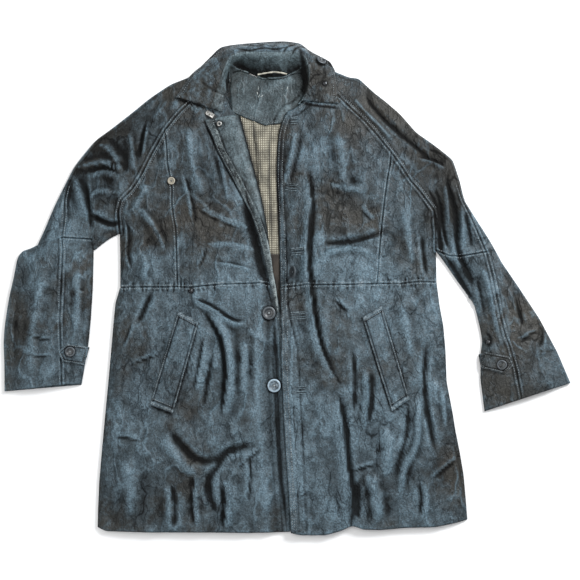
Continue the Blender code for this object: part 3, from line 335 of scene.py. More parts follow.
# %% Seams and edges of the coat
LINES = {
    "raglan_right_upper": ([(-118, 380), (-151, 361), (-185, 332), (-207, 308), (-227, 281)], 8),
    "raglan_right_lower": ([(-227, 281), (-251, 235), (-272, 191), (-288, 166), (-307, 147),
                            (-312, 121)], 8),
    "panel_right": ([(-227, 281), (-223, 249), (-221, 216), (-212, 172), (-212, 140), (-204, 93),
                     (-199, -14)], 13),
    "web_right": ([(-312, 121), (-308, 87)], 3),
    "side_right_upper": ([(-308, 87), (-306, 37), (-305, -14)], 10),
    "waist_right_side": ([(-305, -14), (-250, -14), (-199, -14)], 8),
    "waist_right_chest": ([(-199, -14), (-177, -15), (-131, -10), (-85, -8), (-45, -6), (-21, -10)], 9),
    "neck_right": ([(-118, 380), (-114, 345), (-104, 322), (-90, 308)], 9),
    "roll_right": ([(-90, 308), (-75, 254), (-59, 197), (-48, 149), (-39, 102), (-33, 55),
                    (-27, 18), (-21, -10)], 21),
    "front_right_lower": ([(-21, -10), (-13, -41), (-4, -84), (7, -129), (12, -220), (17, -327),
                           (23, -453)], 22),
    "side_right_lower": ([(-305, -14), (-313, -41), (-316, -78), (-320, -144), (-324, -202), (-328, -256),
                          (-332, -316), (-335, -362), (-336, -415), (-336, -445)], 22),
    "hem_right": ([(-336, -445), (-322, -452), (-242, -454), (-135, -454), (-64, -455), (23, -453)], 17),

    "raglan_left_upper": ([(48, 376), (71, 367), (95, 351), (119, 326), (147, 299), (171, 270),
                           (195, 239)], 10),
    "raglan_left_lower": ([(195, 239), (212, 214), (230, 185), (248, 163), (274, 127)], 7),
    "panel_left": ([(195, 239), (193, 216), (187, 187), (183, 159), (177, 112), (171, 55), (166, -8)], 12),
    "web_left": ([(274, 127), (276, 55)], 6),
    "side_left_upper": ([(276, 55), (276, -4)], 6),
    "waist_left_chest": ([(-12, -14), (40, -10), (98, -10), (166, -8)], 9),
    "waist_left_side": ([(166, -8), (208, -8), (245, -4), (276, -4)], 7),
    "neck_left": ([(3, 320), (18, 326), (31, 337), (41, 353), (48, 376)], 9),
    "front_left_upper": ([(3, 320), (-5, 310), (-10, 297), (-16, 274), (-18, 235), (-19, 187), (-17, 149),
                          (-15, 102), (-13, 55), (-12, -14)], 22),
    "front_left_lower": ([(-12, -14), (-9, -93), (-10, -148), (-6, -238), (-2, -309), (3, -380),
                          (8, -455)], 22),
    "side_left_lower": ([(276, -4), (281, -49), (287, -85), (290, -129), (291, -187), (301, -245),
                         (305, -274), (312, -313), (318, -353), (321, -397), (323, -432)], 22),
    "hem_left": ([(8, -455), (24, -459), (69, -459), (96, -452), (117, -442), (135, -449), (167, -450),
                  (211, -446), (265, -445), (300, -438), (323, -432)], 16),

    "fold_right_upper": ([(-137, 420), (-182, 388), (-219, 373), (-256, 347), (-292, 316), (-330, 285),
                          (-358, 264), (-385, 229), (-397, 212), (-410, 184), (-431, 138), (-448, 93),
                          (-460, 65)], 19),
    "overarm_right_upper": ([(-134, 415), (-180, 382), (-216, 368), (-254, 342), (-288, 311), (-326, 280),
                             (-354, 259), (-380, 226), (-393, 208), (-406, 180), (-412, 149), (-410, 117),
                             (-414, 78)], 19),
    "shoulder_end_right": ([(-134, 415), (-127, 398), (-118, 380)], 8),
    "elbow_right": ([(-414, 78), (-360, 76)], 3),
    "web_edge_right": ([(-360, 76), (-356, 53), (-340, 67), (-324, 79), (-308, 87)], 5),
    "overarm_right_lower": ([(-414, 78), (-411, 55), (-412, -1), (-413, -74), (-409, -138),
                             (-406, -193)], 14),
    "inner_right": ([(-360, 76), (-356, 53), (-356, -19), (-358, -71), (-361, -115), (-367, -158),
                     (-372, -192)], 14),
    "fold_right_lower": ([(-460, 65), (-476, 57), (-487, 55), (-496, 42), (-502, 3), (-508, -27),
                          (-512, -56), (-515, -85), (-516, -115), (-513, -157), (-511, -204)], 14),
    "cuff_right": ([(-406, -193), (-372, -192)], 3),

    "fold_left_upper": ([(60, 412), (92, 398), (120, 386), (135, 386), (165, 357), (185, 341), (213, 316),
                         (244, 279), (268, 262), (287, 247), (311, 227), (323, 187), (331, 149), (353, 112),
                         (376, 74), (386, 55)], 23),
    "overarm_left_upper": ([(58, 406), (90, 392), (118, 380), (133, 379), (161, 352), (181, 336), (209, 311),
                            (240, 275), (264, 257), (283, 242), (306, 223), (317, 185), (326, 153),
                            (340, 123), (352, 93), (368, 52)], 23),
    "shoulder_end_left": ([(58, 406), (48, 376)], 6),
    "elbow_left": ([(368, 52), (347, 48), (325, 44), (301, 44), (276, 55)], 6),
    "overarm_left_lower": ([(368, 52), (378, 9), (384, -28), (390, -65), (398, -102), (407, -129),
                            (415, -162), (424, -218)], 16),
    "inner_left": ([(276, 55), (292, 33), (315, -2), (333, -28), (345, -45), (355, -91), (358, -113),
                    (354, -137), (353, -184), (359, -240)], 16),
    "fold_left_lower": ([(386, 55), (397, 33), (428, -15), (463, -71), (494, -133), (516, -189)], 16),
    "cuff_left": ([(424, -218), (359, -240)], 6),
}
CLOSED = ("side_right_upper", "side_right_lower", "side_left_upper", "side_left_lower", "inner_right",
          "inner_left", "web_edge_right")
FOLDED = ("fold_right_upper", "fold_right_lower", "fold_left_upper", "fold_left_lower")
OPENING = ("roll_right", "front_left_upper")
SEAMS = {
    "waist": ("waist_right_side", "waist_right_chest", "waist_left_chest", "waist_left_side"),
    "plain": ("panel_right", "panel_left", "elbow_right", "elbow_left"),
    "double": ("raglan_right_upper", "raglan_right_lower", "raglan_left_upper", "raglan_left_lower",
               "overarm_right_upper", "overarm_right_lower", "overarm_left_upper", "overarm_left_lower",
               "web_right", "web_left"),
    "edge": ("front_left_upper", "front_left_lower", "front_right_lower", "neck_left"),
    "turned": ("hem_right", "hem_left", "roll_right", "cuff_right", "cuff_left", "web_edge_right"),
}
# seams over the arm that are pressed flat above this height
OVERARMS = ("overarm_right_upper", "overarm_left_upper")
PRESSED_FLAT = 190.0
# where a button, snap, eyelet or hook presses on the leather, and its radius; painted shade rings each one
PRESSED = [((-213, 184), 7.0), ((65, 413), 9.0), ((72, 369), 4.0), ((-174, -21), 3.5),
           ((-125, 292), 5.5), ((-32, -62), 12.0), ((-22, -194), 12.0), ((367, -115), 4.0),
           ((-392, -133), 9.0), ((390, -157), 9.0), ((-143, 312), 7.0)]
print("pattern lines:", len(LINES), "with", sum(count for _, count in LINES.values()), "stretches")


# %% Helpers for lines
def soften(points, passes=3):
    """Rounds the bends of a line of points and keeps its ends."""
    for _ in range(passes):
        points = points.copy()
        points[1:-1] = (points[:-2] + 2 * points[1:-1] + points[2:]) / 4
    return points


def divide(points, count):
    """Divides a line into stretches of equal length."""
    points = np.array(points, float)
    reach = np.concatenate([[0], np.cumsum(np.hypot(*np.diff(points, axis=0).T))])
    places = np.linspace(0, reach[-1], count + 1)
    return np.stack([np.interp(places, reach, points[:, 0]), np.interp(places, reach, points[:, 1])], 1)


def graded(points, closeness=0.4):
    """Draws the divisions of a line closer together at its ends, where the seams of the next pieces are."""
    even = np.linspace(0, 1, len(points))
    share = even - closeness * np.sin(2 * pi * even) / (2 * pi)
    return np.stack([np.interp(share, even, points[:, axis]) for axis in (0, 1)], 1)


def line(*names):
    """One or more named lines joined end to end; a leading minus runs a line backwards."""
    joined = None
    for name in names:
        points, count = LINES[name.lstrip("-")]
        points = graded(soften(divide(points, count * FINE)))
        if name.startswith("-"):
            points = points[::-1]
        joined = points if joined is None else np.concatenate([joined, points[1:]])
    return joined


def beside(points, path):
    """For many points: the distance to a path, the side (left is plus), and the share of its length."""
    way = np.diff(path, axis=0)
    length = np.maximum(np.hypot(way[:, 0], way[:, 1]), 1e-6)
    from_start = points[:, None] - path[:-1]
    share = np.clip((from_start * way).sum(2) / length ** 2, 0, 1)
    off = from_start - share[..., None] * way
    gap = np.hypot(off[..., 0], off[..., 1])
    nearest = gap.argmin(1)
    row = np.arange(len(points))
    turn = way[nearest, 0] * off[row, nearest, 1] - way[nearest, 1] * off[row, nearest, 0]
    passed = np.concatenate([[0], np.cumsum(length)[:-1]])[nearest] + share[row, nearest] * length[nearest]
    return gap[row, nearest], np.where(turn > 0, 1.0, -1.0), passed / length.sum()


def nearest_of(points, names):
    """The distance from each point to the nearest of several named lines."""
    return np.min([beside(points, np.array(LINES[name][0], float))[0] for name in names], axis=0)


print("the left front's edge has", len(line("front_left_lower")), "points")


# %% Helpers for fields of numbers
def away(points, place):
    """The distance from each point to a place."""
    return np.hypot(*(points - np.array(place, float)).T)


def bell(value, middle, width):
    """1 where a value is at the middle, falling smoothly to 0 a few widths away."""
    return np.exp(-((value - middle) / width) ** 2)


def eased(share):
    """A share from 0 to 1 that starts and ends softly."""
    share = np.clip(share, 0, 1)
    return share * share * (3 - 2 * share)


def near_to(points, path, reach):
    """Which points lie within reach of a path's box."""
    return np.flatnonzero(((points > path.min(0) - reach) & (points < path.max(0) + reach)).all(1))


def swells(points, width, length, seed):
    """Smooth noise at each point, in waves of a size in millimetres."""
    return np.array([noise.noise(Vector((x / width, y / length, seed))) for x, y in points])


def branching(points, width, length, seed, octaves):
    """Ridged noise at each point, whose creases branch."""
    places = [Vector((x / width, y / length, seed)) for x, y in points]
    return np.array([noise.ridged_multi_fractal(place, 0.9, 2.1, octaves, 1.0, 2.0) for place in places])


def raised(plan, top):
    """A grid of plan points with their heights."""
    return np.concatenate([plan, top[..., None]], 2)


print("a bell of width 2 at 0, 1 and 2:", bell(np.arange(3), 0, 2).round(2))

# %% [markdown]
# ## How the leather lies
# The front stands about 14 mm over the table where air and lining fill the coat, and comes down at its side
# seams. Heavy leather doesn't hang in even waves: it breaks into folds with one steep and one soft side. Each
# fold of the photograph is placed as a line with its own rise and reach on either side, so that the
# big shapes are the coat's own. Where both rises are plus it is a ridge, where both are minus a trough, and
# where they differ the leather steps down over itself.

# %% Thicknesses and heights
WALL = 1.8
LAYER_GAP = 0.5
BACK_TOP = 2.4
SIDE_EDGE = 4.6
LOFT = 14.0
LOFT_REACH = 30.0
SLEEVE_FOLD = 6.2
OPENING_TOP = 6.9
OVERLAP_TOP = 7.2
OVERLAP_REACH = 24.0
OVERLAP_SLOPE = 0.35
OVERLAP_LIFT = 2.35
QUIET_REACH = 24.0
FOLD_SCALE = 1.15
FOLD_FADE = 0.28
FOLD_STEP = 3.2
print("the coat stands", LOFT, "mm high with walls of", WALL, "mm")

# %% The folds
# points along the fold, rise to its left and right, reach to its left and right
FOLDS = [
    # right front skirt
    ([(-173, -36), (-149, -45), (-129, -56), (-110, -71), (-92, -80), (-70, -76)], -6.0, 8.0, 9, 15),
    ([(-152, -52), (-136, -74), (-121, -96), (-112, -120), (-108, -148), (-107, -180), (-109, -205),
      (-116, -256)], 11.0, -6.0, 26, 12),
    ([(-79, -98), (-75, -157), (-80, -220)], 4.0, 4.0, 13, 14),
    ([(-53, -96), (-50, -148), (-49, -184), (-53, -223)], -3.0, 3.0, 6, 9),
    ([(-41, -71), (-39, -120), (-37, -175), (-42, -234)], -3.5, -3.5, 7, 8),
    ([(-219, -252), (-200, -288), (-173, -318), (-146, -332), (-122, -325), (-103, -311), (-72, -302),
      (-40, -304)], -5.0, -5.0, 14, 12),
    ([(-227, -277), (-205, -313), (-176, -345), (-147, -359)], 5.0, 5.0, 16, 18),
    ([(-103, -313), (-126, -341), (-140, -366), (-134, -397), (-120, -425)], -6.0, -5.0, 10, 14),
    ([(-115, -359), (-108, -394), (-109, -450)], 9.0, -5.0, 28, 10),
    ([(-90, -345), (-65, -320), (-44, -302)], 3.0, -3.0, 8, 6),
    ([(-287, -157), (-266, -149), (-244, -142), (-226, -133)], 2.5, -3.0, 12, 5),
    ([(-317, -281), (-290, -286), (-258, -291)], 3.0, -3.0, 12, 6),
    ([(-246, -23), (-258, -49), (-271, -82)], -6.0, -5.0, 10, 9),
    ([(-301, -129), (-288, -104), (-280, -78)], -3.0, 2.0, 6, 10),
    ([(-148, -102), (-157, -157), (-167, -211)], 4.0, -4.0, 14, 7),
    ([(-133, -133), (-142, -184), (-150, -241)], -4.0, -4.0, 7, 8),
    ([(-190, -78), (-208, -129), (-225, -184)], 2.5, 2.5, 9, 9),
    ([(-289, -318), (-277, -380), (-278, -441)], 7.0, 7.0, 26, 26),
    ([(-208, -366), (-202, -406), (-203, -450)], -5.0, 5.0, 14, 22),
    ([(-163, -348), (-168, -397), (-160, -448)], 5.0, -3.0, 16, 10),
    ([(-72, -306), (-65, -359), (-70, -406)], -3.0, 3.0, 8, 12),
    ([(-33, -318), (-25, -380), (-24, -432)], -3.0, -3.0, 7, 7),
    # right front above the waist
    ([(-275, 138), (-248, 108), (-229, 74), (-220, 44)], 3.0, 5.0, 9, 16),
    ([(-300, 119), (-292, 83), (-295, 44), (-284, 14)], -5.0, 3.0, 12, 8),
    ([(-254, 33), (-260, 14), (-263, -4)], 5.0, 5.0, 10, 10),
    ([(-175, 144), (-149, 123), (-119, 108), (-82, 95)], 3.0, -2.0, 12, 7),
    ([(-146, 61), (-119, 67), (-85, 63), (-63, 52)], 2.0, 3.5, 6, 14),
    ([(-137, 33), (-100, 29), (-56, 18)], -2.0, 2.5, 6, 9),
    ([(-148, 63), (-153, 40), (-164, 22)], -3.0, 3.0, 7, 8),
    ([(-86, 149), (-67, 108), (-52, 59), (-37, -4)], -3.0, -5.0, 6, 14),
    ([(-181, 306), (-184, 245), (-168, 187), (-149, 140)], 5.0, 4.0, 20, 20),
    ([(-133, 245), (-120, 197), (-112, 149)], 4.0, -2.0, 12, 10),
    ([(-194, 206), (-179, 157), (-167, 93)], -3.0, 3.0, 12, 12),
    ([(-257, 187), (-271, 153), (-289, 121)], 5.0, 4.0, 14, 14),
    # left front
    ([(37, 229), (42, 184), (46, 144), (45, 97), (40, 72), (40, 7), (45, -12), (47, -41), (51, -74),
      (58, -111), (68, -140), (85, -167), (104, -198)], -7.0, 7.0, 13, 24),
    ([(94, -205), (99, -241), (104, -274), (107, -309), (109, -338), (114, -366), (117, -397),
      (119, -443)], -7.0, 9.0, 14, 28),
    ([(127, -359), (128, -397), (126, -439)], -5.0, -4.0, 10, 8),
    ([(143, -348), (153, -389), (160, -441)], 8.0, 7.0, 26, 9),
    ([(121, -120), (126, -184), (122, -252)], -4.0, -5.0, 6, 8),
    ([(141, -158), (144, -213), (136, -270)], 6.0, 6.0, 9, 9),
    ([(155, -162), (155, -216), (147, -263)], -4.0, -3.0, 8, 6),
    ([(114, -348), (136, -339), (164, -332)], 3.5, -3.0, 9, 6),
    ([(58, 67), (99, 67), (145, 76), (195, 95)], -4.0, -4.0, 9, 8),
    ([(58, 44), (108, 57), (136, 57), (158, 48)], 4.0, 4.0, 7, 10),
    ([(87, -34), (102, -49), (116, -60)], 3.0, -3.0, 10, 8),
    ([(72, 184), (109, 168), (148, 172)], 3.0, 4.0, 14, 14),
    ([(136, 138), (147, 123), (162, 108)], 4.0, -2.0, 10, 8),
    ([(93, 287), (104, 226), (111, 149)], 4.0, 4.0, 20, 18),
    ([(18, 279), (10, 245), (3, 206), (-4, 176)], 3.0, 3.0, 9, 7),
    ([(29, 29), (40, 40), (45, 52)], 3.0, 2.0, 6, 6),
    ([(206, -38), (216, -93), (228, -151)], 5.0, 4.0, 18, 16),
    ([(258, -104), (250, -162), (251, -220), (259, -274), (270, -323)], -6.0, -6.0, 10, 9),
    ([(235, -205), (237, -252), (233, -302), (220, -323), (207, -348), (201, -401)], 7.0, 7.0, 10, 9),
    ([(220, -216), (219, -274), (208, -313), (193, -352)], -4.0, -3.0, 6, 9),
    ([(280, -184), (285, -231), (287, -277)], 6.0, 6.0, 9, 9),
    ([(257, -362), (283, -341), (312, -320)], 4.0, -4.0, 12, 8),
    ([(298, -291), (308, -330), (312, -380)], -4.0, 4.0, 8, 12),
    ([(176, -263), (183, -309), (175, -359)], 5.0, 5.0, 20, 18),
    ([(239, -362), (246, -397), (238, -432)], 5.0, -3.0, 18, 12),
    ([(214, 140), (224, 82), (231, 22)], 5.0, 4.0, 16, 14),
    ([(249, 93), (253, 40), (260, -1)], -4.0, -4.0, 8, 8),
    # right sleeve
    ([(-397, 214), (-373, 214), (-347, 220), (-329, 218), (-306, 203)], 6.0, 5.0, 14, 8),
    ([(-380, 197), (-362, 206), (-340, 210), (-310, 201)], -5.0, -4.0, 5, 5),
    ([(-376, 191), (-354, 199), (-332, 203), (-308, 193)], 6.0, 6.0, 6, 12),
    ([(-401, 206), (-393, 184), (-381, 149), (-370, 108)], 7.0, 7.0, 9, 14),
    ([(-384, 195), (-372, 165), (-364, 127), (-361, 82)], -6.0, -4.0, 9, 6),
    ([(-363, 123), (-348, 112), (-326, 102), (-306, 104)], -7.0, -5.0, 9, 7),
    ([(-364, 149), (-355, 163), (-342, 166), (-324, 165)], 4.0, 3.0, 8, 8),
    ([(-261, 299), (-268, 264), (-271, 229)], 7.0, -6.0, 12, 8),
    ([(-348, 260), (-329, 245), (-312, 222), (-306, 199)], 6.0, 5.0, 9, 12),
    ([(-334, 268), (-311, 245), (-295, 214)], -4.0, -4.0, 8, 6),
    ([(-296, 283), (-288, 245), (-284, 203)], 6.0, 5.0, 10, 10),
    ([(-219, 345), (-237, 318), (-256, 299)], 4.0, 4.0, 12, 12),
    ([(-449, 33), (-455, -38), (-463, -107), (-464, -184)], 5.0, 5.0, 18, 18),
    ([(-490, 33), (-497, -38), (-499, -111), (-493, -184)], -4.0, 3.0, 12, 10),
    ([(-387, 22), (-381, -38), (-383, -100)], 5.0, 4.0, 12, 12),
    ([(-478, -96), (-452, -107), (-419, -111)], 2.5, -2.5, 8, 6),
    ([(-484, -133), (-455, -140), (-422, -140)], 2.5, -2.5, 8, 6),
    ([(-396, -38), (-382, -23), (-364, -15)], -3.0, 2.0, 6, 8),
    # left sleeve
    ([(272, 176), (281, 157), (286, 127), (288, 100), (294, 70), (303, 42)], -6.0, -5.0, 7, 6),
    ([(309, 226), (299, 191), (300, 165), (309, 140), (314, 117), (315, 91), (313, 63), (319, 38),
      (334, 20),
      (341, -2), (343, -38)], -6.0, -5.0, 6, 7),
    ([(319, 180), (325, 140), (323, 97), (324, 59)], 8.0, 5.0, 12, 6),
    ([(295, 184), (296, 140), (300, 97)], 7.0, 6.0, 7, 8),
    ([(261, 252), (287, 241), (312, 226)], 6.0, -5.0, 9, 9),
    ([(242, 229), (268, 226), (297, 210)], -5.0, 5.0, 9, 10),
    ([(140, 380), (146, 357), (161, 330), (185, 301), (212, 276), (240, 252), (260, 233),
      (286, 201)], -5.0, -5.0, 10, 9),
    ([(169, 365), (191, 334), (220, 304), (250, 272)], 5.0, 5.0, 9, 9),
    ([(120, 353), (142, 322), (171, 291), (205, 252)], 5.0, 4.0, 9, 9),
    ([(362, 130), (371, 97), (375, 63)], 4.0, 4.0, 10, 10),
    ([(410, -6), (422, -34), (427, -71), (437, -96)], -5.0, -4.0, 9, 8),
    ([(428, -19), (445, -52), (459, -82)], 5.0, 4.0, 9, 9),
    ([(411, -107), (425, -113), (440, -102), (455, -93), (469, -104), (472, -122),
      (461, -144)], 5.0, -4.0, 9, 7),
    ([(356, 33), (370, -19), (379, -71), (385, -120)], 5.0, 4.0, 11, 10),
    ([(348, 9), (358, -38), (362, -84)], -4.0, -3.0, 7, 7),
    ([(329, 130), (339, 89), (342, 55)], -4.0, -4.0, 6, 6),
]

folds = [(soften(divide(points, 8 * (len(points) - 1)), 8), *sizes) for points, *sizes in FOLDS]
print("folds placed by hand:", len(folds))

# %% The deep lines
# deep lines: points, reach, depth (minus is raised), painted shade (minus is a painted highlight)
CREASES = [
    # black folds in painted shade, and painted highlights on three crests of the right sleeve
    ([(263, 168), (277, 142), (284, 106), (280, 65), (294, 40)], 3.0, 2.0, 1.0),
    ([(294, 44), (312, 14), (333, -23), (342, -36)], 5.0, 1.5, 0.9),
    ([(-312, 138), (-310, 115), (-309, 93)], 2.2, 1.0, 0.9),
    ([(-394, 212), (-366, 216), (-338, 218), (-321, 210), (-306, 201)], 1.7, -1.2, -0.8),
    ([(-356, 260), (-339, 250), (-325, 237), (-314, 222), (-304, 206)], 1.7, -1.2, -0.7),
    ([(-364, 149), (-355, 161), (-327, 165), (-309, 161)], 1.7, -0.8, -0.5),
    ([(46, 144), (40, 89), (40, 46), (42, 3), (49, -38), (54, -78), (65, -124), (79, -160),
      (104, -200)], 2.3, 3.2, 1.2),
    ([(94, -205), (99, -234), (104, -268), (107, -309), (114, -362)], 2.8, 3.0, 1.05),
    ([(112, -355), (119, -383), (117, -406), (115, -445)], 4.5, 2.5, 0.9),
    ([(5, 176), (14, 206), (25, 249), (29, 277)], 2.4, 1.6, 0.6),
    ([(-362, 121), (-348, 112), (-322, 102), (-308, 108)], 4.0, 2.0, 1.0),
    ([(-77, 210), (-75, 168), (-67, 121)], 2.0, 1.5, 0.6),
    ([(-263, 299), (-266, 264), (-271, 233)], 2.0, 1.8, 0.9),
    ([(-329, 214), (-306, 218), (-295, 203)], 3.5, 1.6, 0.7),
    ([(-364, 203), (-340, 210), (-313, 205)], 4.0, 2.0, 0.8),
    ([(299, 187), (312, 140), (313, 83), (323, 33), (339, -10)], 4.5, 2.4, 1.0),
    ([(273, 127), (280, 89), (289, 55)], 3.5, 2.0, 0.95),
    ([(465, -84), (468, -104), (461, -124)], 3.0, 1.6, 0.8),
    ([(364, -96), (373, -107), (369, -126)], 2.5, 1.2, 1.0),
    # shadows under edges that stand clear
    ([(-154, 301), (-139, 268), (-120, 229), (-97, 187), (-80, 149)], 2.6, 1.6, 1.0),
    ([(-80, 157), (-65, 110), (-56, 65), (-48, 29), (-34, -17)], 9.0, 3.0, 1.0),
    ([(-209, 343), (-189, 336), (-168, 330), (-149, 322)], 2.6, 1.4, 1.0),
    ([(29, 334), (59, 328), (97, 324)], 2.4, 1.2, 0.9),
    ([(-21, -74), (-17, -175), (-13, -274), (-8, -362), (1, -452)], 3.4, 1.4, 1.0),
    ([(-189, -60), (-241, -229)], 2.0, 0.8, 0.9),
    ([(138, -69), (189, -241)], 2.0, 0.8, 0.9),
    ([(173, -49), (222, -220)], 2.0, 0.8, 0.9),
    ([(-159, -78), (-203, -245)], 2.4, 0.8, 0.9),
    ([(-246, -229), (-204, -247)], 2.0, 0.8, 0.9),
    ([(189, -243), (222, -222)], 2.0, 0.8, 0.9),
    # painted shade along the lining's edges and in its folds
    ([(-8, 287), (-14, 187), (-15, 55)], 3.0, 1.0, 0.8),
    ([(-85, 306), (-68, 245), (-45, 149), (-34, 74)], 3.0, 1.0, 0.5),
    ([(-61, 299), (-53, 245), (-45, 178)], 2.6, 0.8, 0.6),
    ([(-34, 283), (-30, 187), (-27, 74)], 1.6, 0.3, 0.3),
    # painted shade on the collar's crumpled rim, its fold and the corner inside it; three painted highlights
    ([(-95, 435), (-69, 427), (-46, 435), (-20, 431), (3, 437)], 2.2, 1.0, 0.8),
    ([(-77, 449), (-58, 439), (-39, 447)], 2.0, 0.8, 0.6),
    ([(-7, 423), (3, 439), (18, 447)], 2.0, 1.0, 0.9),
    ([(10, 420), (18, 435), (29, 443)], 2.0, 1.0, 0.9),
    ([(24, 439), (31, 408), (37, 373), (33, 345)], 4.5, 1.0, 0.9),
    ([(42, 369), (52, 384), (67, 386)], 1.8, 0.8, 0.7),
    ([(-159, 373), (-140, 357), (-121, 349)], 2.4, 0.8, 0.5),
    ([(-54, 423), (-27, 420), (-3, 422)], 2.4, -0.6, -0.8),
    ([(-103, 425), (-112, 390), (-121, 357)], 1.8, -0.4, -0.9),
    ([(29, 339), (59, 332), (95, 330)], 1.4, -0.2, -0.9),
    # painted highlights on crests
    ([(18, 277), (9, 235), (1, 203), (-6, 176)], 2.6, -1.2, -0.8),
    ([(169, 55), (170, 9), (168, -38)], 3.0, -0.6, -0.8),
    ([(-153, 299), (-135, 276), (-120, 241)], 2.0, -0.4, -0.4),
    ([(-198, 176), (-168, 153), (-138, 127), (-101, 108), (-67, 95)], 4.0, -1.0, -0.5),
    ([(-150, 63), (-119, 68), (-78, 63), (-52, 52)], 3.0, -0.8, -0.6),
    ([(-358, 184), (-351, 206), (-325, 214), (-302, 203)], 1.8, -0.6, -0.8),
    ([(-373, 214), (-365, 187), (-362, 157)], 1.8, -0.6, -0.6),
    ([(459, -78), (473, -93), (471, -120), (461, -133)], 2.0, -0.8, -0.9),
    ([(409, -111), (418, -122), (430, -129)], 1.6, -0.6, -0.7),
    ([(10, -93), (9, -184), (12, -291), (19, -397)], 2.2, -0.5, -0.7),
]
creases = [(soften(divide(points, 10 * (len(points) - 1)), 6), *sizes) for points, *sizes in CREASES]
print("deep lines placed by hand:", len(creases))

# %% Painted shade, slate highlight and brown areas
# how far an area's soft edge reaches, in radii
AREA_REACH = 1.84
# areas of painted shade: middle, radius, amount
SHADED_AREAS = [
    ((-348, 264), 44, 0.22), ((287, 264), 40, 0.25), ((313, 149), 30, 0.2), ((328, 14), 16, 0.4),
    ((-333, 245), 34, 0.35), ((-349, 157), 20, 0.4), ((-256, 322), 26, 0.2), ((-133, 206), 34, 0.2),
    ((-233, 93), 26, 0.15), ((267, 216), 30, 0.25), ((303, 112), 24, 0.25), ((109, 187), 24, 0.15),
    ((275, -345), 22, 0.3), ((-279, -397), 30, 0.15), ((63, 390), 16, 0.3), ((432, -184), 24, 0.2),
]

# brown and slate areas, the slate partly a painted highlight: middle, radius, amount (minus is brown)
PATCHES = [
    # slate, partly a painted highlight
    ((10, -120), 12, 0.8), ((12, -274), 12, 0.8), ((10, -371), 12, 0.7), ((163, -120), 14, 0.4),
    ((135, -397), 26, 0.4),
    ((172, 7), 24, 1.0), ((178, -89), 16, 0.8), ((183, -288), 24, 0.9), ((23, -229), 14, 0.9),
    ((23, -309), 14, 0.9), ((-79, -158), 14, 0.8), ((-77, -397), 18, 0.6), ((89, -415), 14, 0.9),
    ((-254, 22), 16, 0.9), ((-392, 140), 14, 0.5), ((-417, 55), 20, 0.6), ((-439, -169), 22, 0.5),
    ((-465, -10), 14, 0.4), ((-314, 245), 16, 0.3), ((282, -19), 18, 0.6), ((-175, -148), 20, 0.4),
    ((-273, -220), 24, 0.4), ((25, -93), 16, 0.8), ((121, 18), 24, 0.7), ((238, -415), 26, 0.8),
    ((135, -38), 40, 0.6), ((42, -380), 30, 0.5), ((204, -345), 34, 0.4), ((-85, 9), 24, 0.6),
    ((-176, -38), 40, 0.3), ((70, -274), 60, 0.6), ((205, -220), 50, 0.5),
    ((244, -74), 40, 0.5), ((-85, -38), 40, 0.4), ((25, 226), 12, 0.8), ((63, 245), 16, 0.6),
    ((-298, -327), 30, 0.3),
    # brown
    ((259, 274), 26, -0.5), ((307, 168), 24, -0.4), ((-371, 264), 26, -0.3), ((-256, 322), 26, -0.3),
    ((110, 283), 34, -0.6), ((110, 112), 26, -0.6), ((107, -157), 26, -0.5), ((-140, -38), 16, -0.5),
    ((-176, -338), 24, -0.5), ((297, -330), 22, -0.8), ((369, 168), 24, -0.6), ((213, 322), 34, -0.7),
    ((448, -93), 24, -0.7), ((-252, 89), 24, -0.4), ((-160, 108), 24, -0.5), ((-345, 130), 22, -0.5),
    ((82, 361), 22, -0.9), ((284, 112), 20, -0.6), ((-65, -256), 14, -0.4), ((119, -223), 12, -0.4),
    ((423, -193), 26, -0.7), ((-500, -93), 16, -0.4), ((-238, 361), 24, -0.5), ((-5, 283), 12, -0.8),
    ((-161, 206), 30, -0.4), ((230, 187), 26, -0.4),
]
print("dark areas:", len(SHADED_AREAS), "slate and brown areas:", len(PATCHES))


# %% The height of the leather
def falloff(share):
    """1 at a fold's line and 0 at its reach, with a crease at the line."""
    share = np.clip(share, 0, 1)
    return (1 - share) ** 2 * (1 + share)


def folds_at(points):
    """The height that all the folds add at each point."""
    total = np.zeros(len(points))
    for path, left_rise, right_rise, left_reach, right_reach in folds:
        reach = max(left_reach, right_reach)
        near = near_to(points, path, reach)
        if len(near) == 0:
            continue
        gap, side, along = beside(points[near], path)
        end = eased(np.minimum(along, 1 - along) / FOLD_FADE)
        over = eased(gap * side / FOLD_STEP * 0.5 + 0.5)
        left = left_rise * falloff(gap / left_reach)
        right = right_rise * falloff(gap / right_reach)
        total[near] += (left * over + right * (1 - over)) * end * FOLD_SCALE
    return total


def creases_at(points):
    """The depth and the shade that the deep lines add at each point."""
    rise = np.zeros(len(points))
    shade = np.zeros(len(points))
    # a ring of painted shade round each button, snap, eyelet and hook, in a shallow dip
    for place, radius in PRESSED:
        amount = bell(away(points, place), radius, 2.2)
        rise -= 0.6 * amount
        shade += 0.9 * amount
    # painted shade over broad areas
    for place, radius, amount in SHADED_AREAS:
        shade += amount * bell(away(points, place), 0, radius * AREA_REACH)
    # each deep line adds painted shade; a minus shade is a painted highlight
    for path, reach, depth, dark in creases:
        near = near_to(points, path, 3 * reach)
        if len(near) == 0:
            continue
        gap, _, along = beside(points[near], path)
        end = np.clip(np.minimum(along, 1 - along) / 0.15, 0.1, 1)
        amount = bell(gap, 0, reach * end ** 0.5) * end ** 0.5
        rise[near] -= depth * amount
        shade[near] += dark * amount
    return rise, shade


